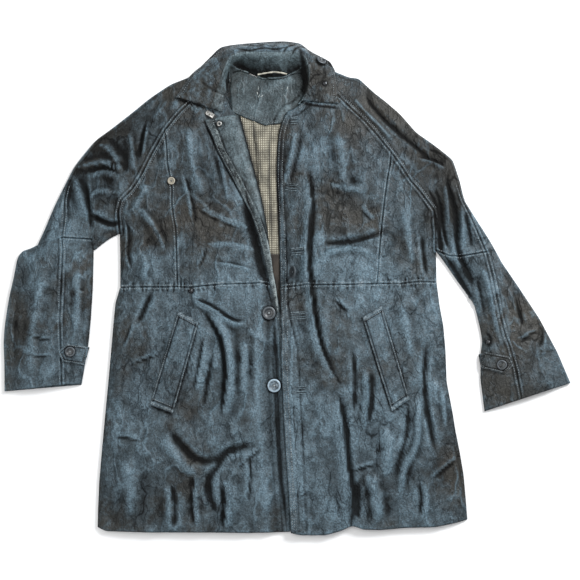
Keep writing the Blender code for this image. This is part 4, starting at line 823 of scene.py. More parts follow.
def loft(points):
    """The smooth height of the front: low at its closed edges, full in the middle, low at the open neck."""
    closed = nearest_of(points, CLOSED)
    folded = np.maximum(0, nearest_of(points, FOLDED) - SLEEVE_FOLD / 2)
    opening = nearest_of(points, OPENING)
    heights = [low + (LOFT - low) * (1 - np.exp(-gap / LOFT_REACH))
               for low, gap in ((SIDE_EDGE, closed), (SLEEVE_FOLD, folded), (OPENING_TOP, opening))]
    return np.min(heights, axis=0)


def crumple(points):
    """The small disorder of soft leather: broad swells, and creases that branch."""
    broad = 2.2 * swells(points, 62, 74, 1.7)
    fine = 1.2 * swells(points, 21, 27, 4.2)
    return broad + fine - 0.9 * (branching(points, 46, 60, 8.1, 4) - 1.2)


def seams_at(points):
    """Each seam's dip, the waist's puckers and the edges, with the wear and the shade of each."""
    rise, shade = creases_at(points)
    wear = np.zeros(len(points))
    for kind, names in SEAMS.items():
        gap = nearest_of(points, names)
        if kind in ("edge", "turned"):
            rise -= 1.5 * np.clip(1 - gap / 2.6, 0, 1) ** 2
            wear = np.maximum(wear, (0.42 if kind == "edge" else 0.25) * bell(gap, 0, 3.5))
            if kind == "edge":
                rise += np.clip((13 - gap) / 3, 0, 1) * 0.7 - 0.7 * bell(gap, 14, 1.8)
                # painted shade in the groove inside the edge
                shade += 0.3 * bell(gap, 14, 2.0)
            continue
        ridge = 3.6 if kind == "double" else 2.8
        full = np.where(nearest_of(points, OVERARMS) < gap + 0.01,
                        np.clip((PRESSED_FLAT - points[:, 1]) / 30, 0.15, 1), 1)
        rise += full * (0.7 * bell(gap, ridge, 1.8) - 0.6 * bell(gap, 0, 1.2))
        # painted shade in the seam's dip, over its dark joint, and a painted highlight on its ridges
        shade += full * (0.2 if kind == "waist" else 0.25) * bell(gap, 0, 1.3)
        shade -= full * 0.3 * bell(gap, ridge, 1.5)
        wear = np.maximum(wear, full * 0.3 * bell(gap, ridge, 2.0))
        if kind == "double":
            # painted shade in the double seam's outer groove
            shade += full * 0.35 * bell(gap, 6.8, 1.3)
            rise -= full * 0.4 * bell(gap, 6.8, 1.3)
        if kind == "waist":
            pucker = swells(points, 4.0, 30, 2.0)
            near = bell(gap, 4, 6)
            rise += 2.4 * pucker * near
            # painted highlight where the puckers rise and painted shade where they sink
            shade -= 0.9 * pucker * near
            wear = np.maximum(wear, (0.45 + 0.4 * pucker) * bell(gap, 0, 9))
    return rise, wear, shade


def height(points):
    """The top of the front or a sleeve at each point, clear of what lies under it."""
    closed = nearest_of(points, CLOSED + FOLDED)
    opening = nearest_of(points, OPENING)
    quiet = np.minimum(1, closed / QUIET_REACH)
    lowest = np.where(opening < 60, OPENING_TOP, SIDE_EDGE)
    return np.maximum(lowest, loft(points) + (folds_at(points) + crumple(points)) * quiet)


def height_under_overlap(points):
    """The right front stays low where the left front's edge lies on it."""
    gap = beside(points, np.array(LINES["front_left_lower"][0], float))[0]
    return np.minimum(height(points), OVERLAP_TOP + np.maximum(0, gap - OVERLAP_REACH) * OVERLAP_SLOPE)


def height_over_overlap(points):
    """The left front clears the right front under its edge."""
    gap = beside(points, np.array(LINES["front_left_lower"][0], float))[0]
    high = height(points)
    return np.where(gap < OVERLAP_REACH, np.maximum(high, OVERLAP_TOP + OVERLAP_LIFT), high)


def tint_at(points):
    """How slate or brown the leather is at each point; the slate is partly a painted highlight."""
    tint = np.zeros(len(points))
    for place, radius, amount in PATCHES:
        tint += amount * bell(away(points, place), 0, radius * AREA_REACH)
    return tint


print("height in the middle of the chest:", height(np.array([[100.0, 150.0]])).round(1))

# %% [markdown]
# ## A sheet between four seams
# A flat grid from bmesh takes the place between the four edges of a piece. Its rows and columns follow the
# seams, which is how the real hide is stretched when it is sewn. Each vertex then gets its height. A Solidify
# modifier gives the leather its thickness below that face, and the height of each point against its
# surroundings says how much painted shade its hollows get and how much painted highlight its crests get.

# %% Helpers for the sheets
trees = {}
sheets = []
# how many times the heights are evened out to find small and large hollows, for painted shade and highlight
SMALL_BLUR = 7
LARGE_BLUR = 70


def finish_piece(name, bm, finish, replaced=()):
    """Turns a bmesh in millimetres into a piece in metres that rides on the coat."""
    bmesh.ops.scale(bm, vec=(MM, MM, MM), verts=bm.verts[:])
    mesh = bpy.data.meshes.new(name)
    bm.to_mesh(mesh)
    bm.free()
    mesh.materials.append(finish)
    mesh.shade_smooth()
    piece = bpy.data.objects.new(name, mesh)
    bpy.context.scene.collection.objects.link(piece)
    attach(piece, "root")
    if replaced:
        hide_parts(*replaced)
    return piece


def blurred(field, passes):
    """A field of heights, evened out with its neighbours."""
    for _ in range(passes):
        padded = np.pad(field, 1, mode="edge")
        field = (padded[:-2, 1:-1] + padded[2:, 1:-1] + padded[1:-1, :-2] + padded[1:-1, 2:] + 2 * field) / 6
    return field


def grid_sheet(name, places, finish, replaced, wear=0.0, thickness=WALL, resting=("back_bodice",),
               outward=(0, 0, 1), shade=0.0):
    """A sheet of leather or cloth from a grid of places (rows, columns, 3) of its outer face."""
    rows, columns = places.shape[0] - 1, places.shape[1] - 1
    bm = bmesh.new()
    bmesh.ops.create_grid(bm, x_segments=columns, y_segments=rows, size=0.5)
    cells = np.array([(round((v.co.y + 0.5) * rows), round((v.co.x + 0.5) * columns)) for v in bm.verts])
    for vert, place in zip(bm.verts, places[cells[:, 0], cells[:, 1]]):
        vert.co = place
    bm.normal_update()
    first = [face for face in bm.faces if abs(face.normal.z) > 0.5][0]
    if first.normal.dot(Vector(outward)) < 0:
        bmesh.ops.reverse_faces(bm, faces=bm.faces[:])
    trees[name] = BVHTree.FromBMesh(bm)
    area = sum(face.calc_area() for face in bm.faces) * MM * MM
    piece = finish_piece(name + "_sheet", bm, finish, replaced)
    heights = places[..., 2] if outward[2] > 0 else -places[..., 2]
    scale = 6 / FINE
    small = blurred(heights, round(SMALL_BLUR / scale)) - heights
    large = blurred(heights, round(LARGE_BLUR / scale)) - heights
    flat_places = places[cells[:, 0], cells[:, 1]][:, :2]
    # painted shade in the low places and a painted highlight on the high ones, with the shade given to the
    # piece
    fields = {"painted_shade": np.clip(small / 1.3 - 0.08, 0, 1) * 0.7 + np.clip(large / 4.0, 0, 1) * 0.85 + shade,
              "painted_highlight": np.clip(-small, 0, 1) * 0.6 + np.clip(-large / 4.0, 0, 1) * 0.7 - shade,
              "wear": np.zeros_like(heights) + wear}
    for label, field in fields.items():
        values = np.clip(field, 0, 1)[cells[:, 0], cells[:, 1]].astype(np.float32)
        piece.data.attributes.new(label, "FLOAT", "POINT").data.foreach_set("value", values)
    tint = tint_at(flat_places).astype(np.float32)
    piece.data.attributes.new("tint", "FLOAT", "POINT").data.foreach_set("value", tint)
    wall = piece.modifiers.new("thickness", "SOLIDIFY")
    wall.thickness = thickness * MM
    wall.offset = -1
    cut = [np.linalg.norm(np.diff(places, axis=way), axis=2).sum(way).max() * MM for way in (0, 1)]
    sheets.append((piece, cut, area, resting))
    return piece


def patch(left, right, start, end, inset=0.15):
    """A grid of plan points between four edges; left and right run from the start edge to the end edge."""
    u = np.linspace(0, 1, len(start))[None, :, None]
    v = np.linspace(0, 1, len(left))[:, None, None]
    across = left[:, None] * (1 - u) + right[:, None] * u
    down = start[None] * (1 - v) + end[None] * v
    corners = (start[0] * (1 - u) + start[-1] * u) * (1 - v) + (end[0] * (1 - u) + end[-1] * u) * v
    plan = across + down - corners
    for edge, inner in ((np.s_[:, 0], np.s_[:, 1]), (np.s_[:, -1], np.s_[:, -2]), (np.s_[0], np.s_[1]),
                        (np.s_[-1], np.s_[-2])):
        way = plan[inner] - plan[edge]
        length = np.maximum(np.hypot(way[..., 0], way[..., 1]), 1e-6)
        plan[edge] = plan[edge] + way * (inset / length)[..., None]
    return plan


def panel(name, left, right, start, end, top=height, finish=coat_leather, thickness=WALL,
          resting=("back_bodice",)):
    """A cut piece of the front between four seams."""
    plan = patch(left, right, start, end)
    points = plan.reshape(-1, 2)
    rise, wear, shade = seams_at(points)
    z = np.maximum(BACK_TOP + thickness, top(points) + rise)
    z, wear, shade = (field.reshape(plan.shape[:2]) for field in (z, wear, shade))
    return grid_sheet(name, raised(plan, z), finish, (name,), wear, thickness, resting, shade=shade)


# %% The fronts
panel("right_front_side", line("web_right", "side_right_upper"), line("panel_right"),
      line("-raglan_right_lower"), line("waist_right_side"))
panel("right_front_chest", line("raglan_right_upper", "panel_right"), line("roll_right"),
      line("neck_right"), line("waist_right_chest"))
panel("right_front_skirt", line("side_right_lower"), line("front_right_lower"),
      line("waist_right_side", "waist_right_chest"), line("hem_right"), height_under_overlap,
      resting=("back_skirt",))
panel("left_front_chest", line("front_left_upper"), line("raglan_left_upper", "panel_left"),
      line("neck_left"), line("waist_left_chest"))
panel("left_front_side", line("panel_left"), line("web_left", "side_left_upper"),
      line("raglan_left_lower"), line("waist_left_side"))
panel("left_front_skirt", line("front_left_lower"), line("side_left_lower"),
      line("waist_left_chest", "waist_left_side"), line("hem_left"), height_over_overlap,
      resting=("back_skirt", "right_front_skirt"))
print("fronts:", [piece.name for piece, *_ in sheets])

# %% [markdown]
# ## Sleeves
# A sleeve of this cut has a front and a back piece that meet in a seam over the arm. The back piece folds
# round the sleeve's outer edge and lies flat beneath it, so one grid runs from the seam, round the fold and
# along the table.

# %% The sleeves
# rows round the folded edge of a sleeve, stretches along its open ends
FOLD_ROWS = 9
END_CELLS = 12


def under_height(points):
    """How far the flat underside lifts off the table in its pressed creases."""
    return np.clip(branching(points, 70, 90, 3.3, 3) - 1.3, 0, 1) * 0.9


def sleeve_back(name, overarm, fold, under, start, end, top_cells):
    """The back of a sleeve: from its overarm seam round the fold, then flat along the table."""
    radius = SLEEVE_FOLD / 2
    inward = under - fold
    inward /= np.hypot(inward[:, 0], inward[:, 1])[:, None]
    crown = fold + inward * radius
    plan = patch(crown, under, np.concatenate([crown[:1], start[1:]]), np.concatenate([crown[-1:], end[1:]]))
    crown = plan[:, 0]
    share = np.linspace(0, 1, top_cells + 1)[None, :-1, None]
    top_plan = overarm[:, None] * (1 - share) + crown[:, None] * share
    points = top_plan.reshape(-1, 2)
    rise, wear, dark = seams_at(points)
    z = np.maximum(SLEEVE_FOLD - 1.5, height(points) + rise).reshape(top_plan.shape[:2])
    fade = np.clip((share[..., 0] - 0.6) / 0.4, 0, 1)
    z = z * (1 - fade) + SLEEVE_FOLD * fade
    angles = np.radians(np.linspace(90, -90, FOLD_ROWS))[None, :, None]
    round_plan = crown[:, None] - inward[:, None] * radius * np.cos(angles)
    round_z = np.broadcast_to(radius + radius * np.sin(angles), round_plan.shape[:2] + (1,))
    lower_z = under_height(plan[:, 1:].reshape(-1, 2)).reshape(plan[:, 1:].shape[:2])
    places = np.concatenate([raised(top_plan, z), np.concatenate([round_plan, round_z], 2),
                             raised(plan[:, 1:], lower_z)], 1)
    worn, shade = np.zeros((2, *places.shape[:2]))
    worn[:, :top_cells] = wear.reshape(top_plan.shape[:2])
    shade[:, :top_cells] = dark.reshape(top_plan.shape[:2])
    worn[:, top_cells:top_cells + FOLD_ROWS] = 0.25
    return grid_sheet(name, places, coat_leather, (name,), worn, WALL, ("back_bodice",),
                      shade=shade)


raglan_right = line("raglan_right_upper", "raglan_right_lower", "web_right")
raglan_left = line("raglan_left_upper", "raglan_left_lower", "web_left")
panel("right_sleeve_front_upper", line("overarm_right_upper"), raglan_right, line("shoulder_end_right"),
      line("elbow_right", "web_edge_right"), resting=("right_sleeve_back_upper",))
panel("right_sleeve_front_lower", line("overarm_right_lower"), line("inner_right"), line("elbow_right"),
      line("cuff_right"), resting=("right_sleeve_back_lower",))
panel("left_sleeve_front_upper", raglan_left, line("overarm_left_upper"), line("-shoulder_end_left"),
      line("-elbow_left"), resting=("left_sleeve_back_upper",))
panel("left_sleeve_front_lower", line("inner_left"), line("overarm_left_lower"), line("-elbow_left"),
      line("-cuff_left"), resting=("left_sleeve_back_lower",))
UNDER_ENDS = {
    "right": [[(-460, 65), (-360, 77), (-308, 87)], [(-460, 65), (-410, 70), (-360, 76)]],
    "left": [[(386, 55), (331, 52), (276, 55)], [(386, 55), (331, 52), (276, 55)]],
}
for side, under in (("right", raglan_right), ("left", raglan_left)):
    fold = line("fold_%s_upper" % side)
    start = divide([fold[0], (fold[0] + under[0]) / 2, under[0]], END_CELLS)
    sleeve_back("%s_sleeve_back_upper" % side, line("overarm_%s_upper" % side), fold, under, start,
                divide(UNDER_ENDS[side][0], END_CELLS), 5)
    fold, inner = line("fold_%s_lower" % side), line("inner_%s" % side)
    end = divide([fold[-1], inner[-1]], END_CELLS)
    sleeve_back("%s_sleeve_back_lower" % side, line("overarm_%s_lower" % side), fold, inner,
                divide(UNDER_ENDS[side][1], END_CELLS), end, 6 * FINE)
print("sheets so far:", len(sheets))

# %% [markdown]
# ## The underside
# The back lies flat on the table and is never seen in the photograph, but a coat has a back. It is two sheets
# from the same seams, with their outer face down and a few pressed creases less than a millimetre deep.

# %% The back
NECK_BACK = [(-110, 408), (-78, 404), (-46, 396), (-5, 398), (31, 408)]
HEM_BACK = [(-336, -441), (-189, -450), (7, -448), (105, -438), (202, -439), (324, -429)]


def back_panel(name, left, right, start, end):
    """A sheet of the back with its outer face on the table."""
    plan = patch(left, right, start, end)
    points = plan.reshape(-1, 2)
    _, wear, _ = seams_at(points)
    low, wear = (field.reshape(plan.shape[:2]) for field in (under_height(points), wear))
    return grid_sheet(name, raised(plan, low), coat_leather, (name,), wear, WALL, (),
                      outward=(0, 0, -1))


waist = line("waist_right_side", "waist_right_chest")
waist_left = line("waist_left_chest", "waist_left_side")
waist_all = np.concatenate([waist, waist_left[1:]])
waist_count = len(waist_all) - 1
back_panel("back_bodice", line("raglan_right_upper", "raglan_right_lower", "web_right", "side_right_upper"),
           line("raglan_left_upper", "raglan_left_lower", "web_left", "side_left_upper"),
           divide(NECK_BACK, waist_count), waist_all)
back_panel("back_skirt", line("side_right_lower"), line("side_left_lower"), waist_all,
           divide(HEM_BACK, waist_count))
print("back pieces made, with", waist_count, "columns")

# %% [markdown]
# ## Inside the neck
# The lining is a checked waffle weave: threads in two directions stand up in small squares, and every second
# one is darker. It is made from the object's own coordinates, so it stays on the cloth from any side. It has
# slipped into one deep fold beside the lapel. Above it is the leather neck facing, bare but for a few pulled
# threads.

# %% Group: woven squares
woven, g_in, g_out = new_group("woven_squares", [("Pitch", "Float", 300.0)],
                               [("Height", "Float"), ("Dark Squares", "Float")])
where = add(woven, "SeparateXYZ", {0: add(woven, "TexCoord").outputs["Object"]}).outputs
waves = []
for axis in (0, 1):
    turn = times(woven, where[axis], g_in["Pitch"])
    waves.append(math(woven, "SINE", times(woven, turn, 2 * pi)))
squares = times(woven, between(woven, waves[0], -0.4, 0.5), between(woven, waves[1], -0.4, 0.5))
woven.links.new(squares, g_out["Height"])
woven.links.new(minus(woven, 1.0, squares), g_out["Dark Squares"])
print("woven squares has", len(woven.nodes), "nodes")


# %% Cloth materials
def woven_cloth(name, light, dark, pitch, depth):
    """A woven finish: light squares with dark threads between them, faded unevenly, with painted shade in its
    hollows.
    """
    made, tree, shader = new_finish(name, light)
    weave = add(tree, "Group", node_tree=woven)
    weave.inputs["Pitch"].default_value = pitch
    faded = between(tree, noise_at(tree, 38.0, 5.0, 0.65), 0.32, 0.68, 0.5, 1.2)
    # painted shade in the cloth's hollows
    painted_shade = add(tree, "Attribute", attribute_name="painted_shade").outputs["Fac"]
    unshaded_share = minus(tree, 1.0, times(tree, painted_shade, 0.8), clamp=True)
    shade = times(tree, faded, unshaded_share)
    colour = blend(tree, weave.outputs["Dark Squares"], (*light, 1.0), (*dark, 1.0))
    bump = add(tree, "Bump", {"Strength": 0.8, "Distance": depth * MM, "Height": weave.outputs["Height"]})
    tree.links.new(darkened(tree, colour, shade), shader.inputs["Base Color"])
    tree.links.new(bump.outputs["Normal"], shader.inputs["Normal"])
    shader.inputs["Roughness"].default_value = 0.9
    shader.inputs["Sheen Weight"].default_value = 0.2
    return made


check_lining = woven_cloth("check_lining", (0.60, 0.57, 0.46), (0.105, 0.092, 0.064), 1 / 0.0034, 0.6)
brown_lining = woven_cloth("brown_lining", (0.060, 0.046, 0.034), (0.026, 0.020, 0.015), 1 / 0.0022, 0.3)
print("cloth finishes:", check_lining.name, brown_lining.name)

# %% Neck facing and lining
LINING_WALL = 1.2
FACING = {
    "left": [(-105, 404), (-106, 361), (-102, 318)],
    "right": [(31, 402), (39, 357), (22, 301)],
    "top": [(-105, 404), (-78, 396), (-46, 382), (-5, 384), (31, 402)],
    "bottom": [(-102, 318), (-87, 312), (-68, 304), (-40, 293), (-10, 297), (22, 301)],
}
LINING = {
    "left": [(-102, 318), (-86, 226), (-62, 121), (-50, 48)],
    "right": [(22, 301), (7, 226), (3, 121), (3, 48)],
    "bottom": [(-50, 48), (-25, 48), (3, 48)],
}
LINING_LOWER = {
    "left": [(-50, 48), (-34, -10), (-26, -71)],
    "right": [(3, 48), (7, -10), (7, -71)],
    "bottom": [(-26, -71), (7, -71)],
}
LINING_FOLD = np.array([(-62, 300), (-55, 240), (-51, 185), (-44, 120), (-37, 60)], float)


def edges(shapes, rows, columns):
    """The four edges of a small piece, divided for its grid."""
    return {key: divide(points, columns if key in ("top", "bottom") else rows)
            for key, points in shapes.items()}


def lining_top(points):
    """The lining lies on the back, drawn into one deep fold and a few small ones."""
    gap, side, _ = beside(points, LINING_FOLD)
    drawn = np.where(side > 0, 2.6 * falloff(gap / 15), -1.6 * falloff(gap / 9))
    tucked = 1.6 * bell(beside(points, np.array(FACING["bottom"], float))[0], 0, 4)
    return 4.4 + drawn + 1.1 * swells(points, 9, 60, 5.0) - tucked


def facing_top(points):
    """The neck facing lies on the back with soft hollows."""
    return 5.6 + 1.3 * swells(points, 24, 20, 6.0)


facing = edges(FACING, 36, 48)
panel("back_neck_facing", facing["left"], facing["right"], facing["top"], facing["bottom"], facing_top,
      facing_leather)
lining = edges(LINING, 90, 48)
panel("back_lining", lining["left"], lining["right"], facing["bottom"], lining["bottom"], lining_top,
      check_lining, LINING_WALL)
lower = edges(LINING_LOWER, 40, 48)
panel("back_lining_lower", lower["left"], lower["right"], lining["bottom"], lower["bottom"], lining_top,
      brown_lining, LINING_WALL)
print("neck facing and lining in place")

# %% [markdown]
# ## Collar and lapel
# Both are turned-back leather, so each rolls over an edge and comes to rest on what lies under it. The face
# below is found by sending a ray down onto the sheets made so far. The collar stands up from the neckline to
# its roll and falls from there over the shoulders; the two parts share the roll's curve.

# %% Helpers for what lies on the sheets
def rest_on(points, names, reach=0.0):
    """The highest face of the named pieces under each point, and round it."""
    ring = [(0.0, 0.0)]
    if reach:
        ring += [(reach * cos(k * pi / 4), reach * sin(k * pi / 4)) for k in range(8)]
    found = np.zeros(len(points))
    for k, (x, y) in enumerate(points):
        for dx, dy in ring:
            for name in names:
                hit = trees[name].ray_cast(Vector((x + dx, y + dy, 100.0)), Vector((0, 0, -1)))[0]
                if hit is not None:
                    found[k] = max(found[k], hit.z)
    return found


print("the right chest's top at its button:", rest_on(np.array([[-125.0, 292.0]]), ("right_front_chest",)))

# %% The lapel
LAPEL_OUTER = [(-153, 299), (-139, 270), (-130, 245), (-112, 210), (-96, 182), (-80, 151), (-65, 121),
               (-56, 97), (-49, 74), (-43, 52), (-34, 9), (-28, -14), (-22, -41), (-18, -60)]
LAPEL_ROLL = [(-87, 312), (-72, 254), (-57, 197), (-45, 149), (-36, 102), (-30, 55), (-25, 18), (-18, -19),
              (-14, -62)]
LAPEL_SHARES = [0.0, 0.03, 0.08, 0.15, 0.21, 0.26, 0.31, 0.37, 0.46, 0.56, 0.66, 0.75, 0.82, 0.88,
                0.93, 0.97, 1.0]
# how high the lapel rolls above what it lies on at each share of its width
LAPEL_LIFTS = [0.4, 1.4, 1.8, 2.2, 2.0, 2.9, 4.2, 4.4, 5.2, 5.6, 6.0, 6.2, 5.7, 4.8, 3.6, 2.2, 1.0]

lapel_rows = 22 * FINE
lapel_edge, lapel_roll = (soften(divide(points, lapel_rows)) for points in (LAPEL_OUTER, LAPEL_ROLL))
width = np.hypot(*(lapel_edge - lapel_roll).T)
size = np.minimum(1, width / width.max() * 1.4)
shares = np.array(LAPEL_SHARES)[None, :, None]
plan = lapel_edge[:, None] * (1 - shares) + lapel_roll[:, None] * shares
points = plan.reshape(-1, 2)
low = rest_on(points, ("right_front_chest", "right_front_skirt", "back_neck_facing", "back_lining",
                       "back_lining_lower"), 3.0).reshape(plan.shape[:2])
low = blurred(low, 6)
wave = swells(points, 16, 34, 9.0).reshape(plan.shape[:2])
top = low + WALL + LAYER_GAP + (np.array(LAPEL_LIFTS)[None] + 1.1 * wave) * size[:, None]
in_from_edge = shares[..., 0] * width[:, None]
band = np.exp(-((in_from_edge - 6.5) / 5.0) ** 4)
ridge = bell(in_from_edge, 13.0, 1.7)
wear = 0.5 * band + 0.6 * ridge + 0.3 * bell((1 - shares[..., 0]) * width[:, None], 0, 4)
# painted shade in the groove beyond the ridge and a painted highlight on the ridge
shade = 0.6 * bell(in_from_edge, 15.5, 1.6) - 0.4 * ridge
shade += creases_at(points)[1].reshape(shade.shape) * (in_from_edge > 3)
grid_sheet("right_lapel_facing", raised(plan, top), facing_leather, ("right_lapel_facing",),
           wear, WALL, ("right_front_chest",), shade=shade)
print("the lapel is", round(float(width.max())), "mm wide")

# %% The collar
COLLAR_WALL = 2.6
COLLAR_BASE = [(-121, 316), (-115, 345), (-110, 373), (-103, 394), (-82, 400), (-61, 392), (-46, 384),
               (-25, 382), (-5, 384), (10, 392), (27, 394), (35, 374), (31, 353), (20, 332)]
COLLAR_ROLL = [(-142, 322), (-129, 357), (-118, 392), (-105, 418), (-88, 425), (-69, 426), (-46, 425),
               (-22, 425), (1, 426), (22, 428), (37, 418), (44, 392), (42, 365), (31, 337)]
COLLAR_OUTER = [(-209, 345), (-182, 388), (-163, 408), (-141, 431), (-126, 447), (-107, 451),
                (-82, 454), (-56, 456), (-29, 458), (-3, 459), (26, 455), (45, 439), (84, 418),
                (92, 398), (95, 367), (97, 332)]
ROLL_FRONT = 16.0
ROLL_BACK = 36.0
count = 26 * FINE
base, roll, outer = (soften(divide(points, count), 6) for points in (COLLAR_BASE, COLLAR_ROLL, COLLAR_OUTER))
under = ("right_front_chest", "left_front_chest", "right_sleeve_front_upper", "left_sleeve_front_upper",
         "right_sleeve_back_upper", "left_sleeve_back_upper", "back_neck_facing")
round_collar = np.linspace(0, 1, count + 1)
roll_heights = ROLL_FRONT + (ROLL_BACK - ROLL_FRONT) * np.sin(pi * round_collar) ** 0.7


def collar_face(name, edge, shares, reach, bend, finish, wear_reach):
    """A sheet of the collar from its roll down to an edge."""
    shares = np.array(shares)[None, :, None]
    plan = roll[:, None] * (1 - shares) + edge[:, None] * shares
    points = plan.reshape(-1, 2)
    low = rest_on(points, under, reach).reshape(plan.shape[:2]) + COLLAR_WALL + LAYER_GAP
    low = np.maximum(low, blurred(low, 6))
    top = low + np.maximum(0, roll_heights[:, None] - low) * bend(shares[..., 0])
    wave = (swells(points, 15, 13, 3.0) + 0.6 * swells(points, 7, 7, 5.0)).reshape(plan.shape[:2])
    across = shares[..., 0]
    top += 1.6 * wave * np.clip(np.minimum(across, 1 - across) * 6, 0, 1)
    width = np.hypot(*(edge - roll).T)[:, None]
    inside = (1 - across) * width
    top -= 1.2 * bell(inside, 0, 1.6) + 0.7 * bell(inside, 7, 1.6)
    rise, shade = (field.reshape(plan.shape[:2]) for field in creases_at(points))
    wear = 0.5 * bell(inside, 0, wear_reach) + 0.35 * bell(across * width, 0, 6)
    return grid_sheet(name, raised(plan, top + rise), finish, (name,), wear, COLLAR_WALL,
                      ("back_neck_facing",), shade=shade)


collar_face("collar_stand", base, np.linspace(0, 1, 20), 3.0, lambda s: 1 - np.sin(s * pi / 2) ** 2,
            facing_leather, 3.0)
fall_shares = 0.5 - 0.5 * np.cos(pi * np.linspace(0, 1, 30))
collar_face("collar_fall", outer, fall_shares, 4.0, lambda s: 1 - s ** 1.7, coat_leather, 7.0)
print("collar and lapel on their roll lines")

# %% [markdown]
# ## Welts and cuff tabs
# A welt pocket opens along a strip of doubled leather, sewn down at both ends, and each cuff has a pointed
# tab with a button. Both take the shape of what they lie on, so their grids rest on the sheet under them and
# bulge a little between their edges.

# %% Welts and tabs
WELT_WALL = 2.0
TAB_WALL = 2.4


def strip(name, left, right, start, end, carriers, thickness, bulge=1.1, bars=False):
    """A sewn-on strip: it rests on the sheets below and bulges between its edges."""
    plan = patch(left, right, start, end, 0.0)
    points = plan.reshape(-1, 2)
    ring = np.concatenate([start, right[1:], end[::-1][1:], left[::-1][1:]])
    gap = beside(points, ring)[0].reshape(plan.shape[:2])
    low = rest_on(points, carriers, 2.0).reshape(plan.shape[:2])
    low = np.maximum(low, blurred(low, 4))
    top = low + thickness + 0.3 + bulge * np.clip(gap / 3, 0, 1) ** 0.5 - 0.9 * bell(gap, 3.8, 1.1)
    wave = swells(points, 9, 14, 7.0).reshape(plan.shape[:2])
    top += 0.7 * wave * np.clip(gap / 4, 0, 1)
    wear = 0.62 * bell(gap, 0, 2.6)
    # painted shade in the groove inside the rim
    shade = 0.75 * bell(gap, 4.2, 1.1)
    if bars:
        for distance in (beside(points, start)[0], beside(points, end)[0]):
            distance = distance.reshape(plan.shape[:2])
            bar = np.exp(-((distance - 4.5) / 3.0) ** 4)
            top += 1.1 * bar
            wear = np.maximum(wear, 0.6 * bar)
            # painted shade beside each bar
            shade = shade * (1 - bar) + 0.85 * bell(distance, 10.0, 1.3)
    # painted shade round the buttons on the strip
    for place, radius in PRESSED:
        shade = shade + 0.9 * bell(away(points, place).reshape(plan.shape[:2]), radius, 2.0)
    return grid_sheet(name, raised(plan, top), coat_leather, (name,), wear, thickness, carriers,
                      shade=shade)


def side_of(a, b, count):
    """A straight edge between two corners."""
    return divide([a, b], count)


POCKET_RIGHT = [(-196, -58), (-159, -78), (-204, -245), (-246, -229)]
POCKET_LEFT = [(138, -69), (173, -49), (222, -220), (190, -241)]
for name, corners, carrier in (("right_pocket_welt", POCKET_RIGHT, "right_front_skirt"),
                               ("left_pocket_welt", POCKET_LEFT, "left_front_skirt")):
    a, b, c, d = corners
    strip(name, side_of(a, d, 130), side_of(b, c, 130), side_of(a, b, 34), side_of(d, c, 34), (carrier,),
          WELT_WALL, bars=True)
TAB_RIGHT = [(-414, -133), (-398, -118), (-359, -124), (-366, -157), (-405, -151)]
TAB_LEFT = [(350, -137), (361, -133), (403, -142), (411, -158), (395, -173), (353, -162)]
tip, a, b, c, d = TAB_RIGHT
strip("right_cuff_tab", divide([a, tip, d], 32), side_of(b, c, 32), side_of(a, b, 40), side_of(d, c, 40),
      ("right_sleeve_front_lower", "right_sleeve_back_lower"), TAB_WALL)
a, a2, b, tip, c, d = TAB_LEFT
strip("left_cuff_tab", side_of(a, d, 32), divide([b, tip, c], 32), divide([a, a2, b], 40), side_of(d, c, 40),
      ("left_sleeve_front_lower", "left_sleeve_back_lower"), TAB_WALL)
print("welts and cuff tabs in place, sheets so far:", len(sheets))

# %% [markdown]
# ## The floor
# A plain pale floor lies just under the coat.

# %% The floor
floor_bm = bmesh.new()
bmesh.ops.create_grid(floor_bm, x_segments=1, y_segments=1, size=4.0)
bmesh.ops.translate(floor_bm, vec=(0, 0, -0.0006), verts=floor_bm.verts[:])
floor_mesh = bpy.data.meshes.new("pale_floor")
floor_bm.to_mesh(floor_mesh)
floor_bm.free()
floor_finish, _, floor_shader = new_finish("pale_floor")
floor_shader.inputs["Base Color"].default_value = (0.86, 0.86, 0.86, 1.0)
floor_shader.inputs["Roughness"].default_value = 0.9
floor_mesh.materials.append(floor_finish)
floor = bpy.data.objects.new("pale_floor", floor_mesh)
bpy.context.scene.collection.objects.link(floor)
print("floor in place")

# %% [markdown]
# ## Buttonholes
# Each buttonhole in the left front is a slit between two small lips of leather, sewn all round. It is a
# narrow strip like the welts, with two ridges and a deep line between them.

# %% Buttonholes
HOLE_WALL = 1.0
# middle, length, angle
BUTTONHOLES = [((14, 301), 17, 4), ((10, 173), 24, -8), ((20, 52), 26, 2), ((21, -67), 29, 2),
               ((23, -202), 28, -2)]


def buttonhole(name, place, length, angle, carrier):
    """Two lips and a slit on the sheet that carries them."""
    way = np.array([cos(radians(angle)), sin(radians(angle))])
    across = np.array([-way[1], way[0]])
    along = np.linspace(-length / 2, length / 2, 41)
    offsets = np.linspace(-7.5, 7.5, 41)
    plan = np.array(place, float) + along[None, :, None] * way + offsets[:, None, None] * across
    points = plan.reshape(-1, 2)
    low = rest_on(points, (carrier,), 1.5).reshape(plan.shape[:2])
    low = blurred(low, 4)
    inside = np.clip((length / 2 - np.abs(along)) / 3, 0, 1)[None] ** 0.5
    beyond = np.abs(offsets)[:, None]
    lips = bell(beyond, 2.9, 0.9)
    rims = bell(beyond, 6.0, 1.1)
    slits = bell(beyond, 0, 1.4) + 0.5 * bell(beyond, 4.5, 0.7)
    edge = np.clip((7.5 - beyond) / 1.2, 0, 1)
    top = low + 0.4 * edge * inside + (1.7 * lips + 0.7 * rims - 1.4 * slits) * inside
    wear = (0.7 * lips + 0.72 * rims) * inside
    # painted shade in the slit and in the grooves by the lips, a painted highlight on the lips and rims
    shade = (1.5 * slits - 0.5 * lips - 0.5 * rims) * inside
    return grid_sheet(name, raised(plan, top), coat_leather, (), wear, HOLE_WALL, (carrier,),
                      shade=shade)


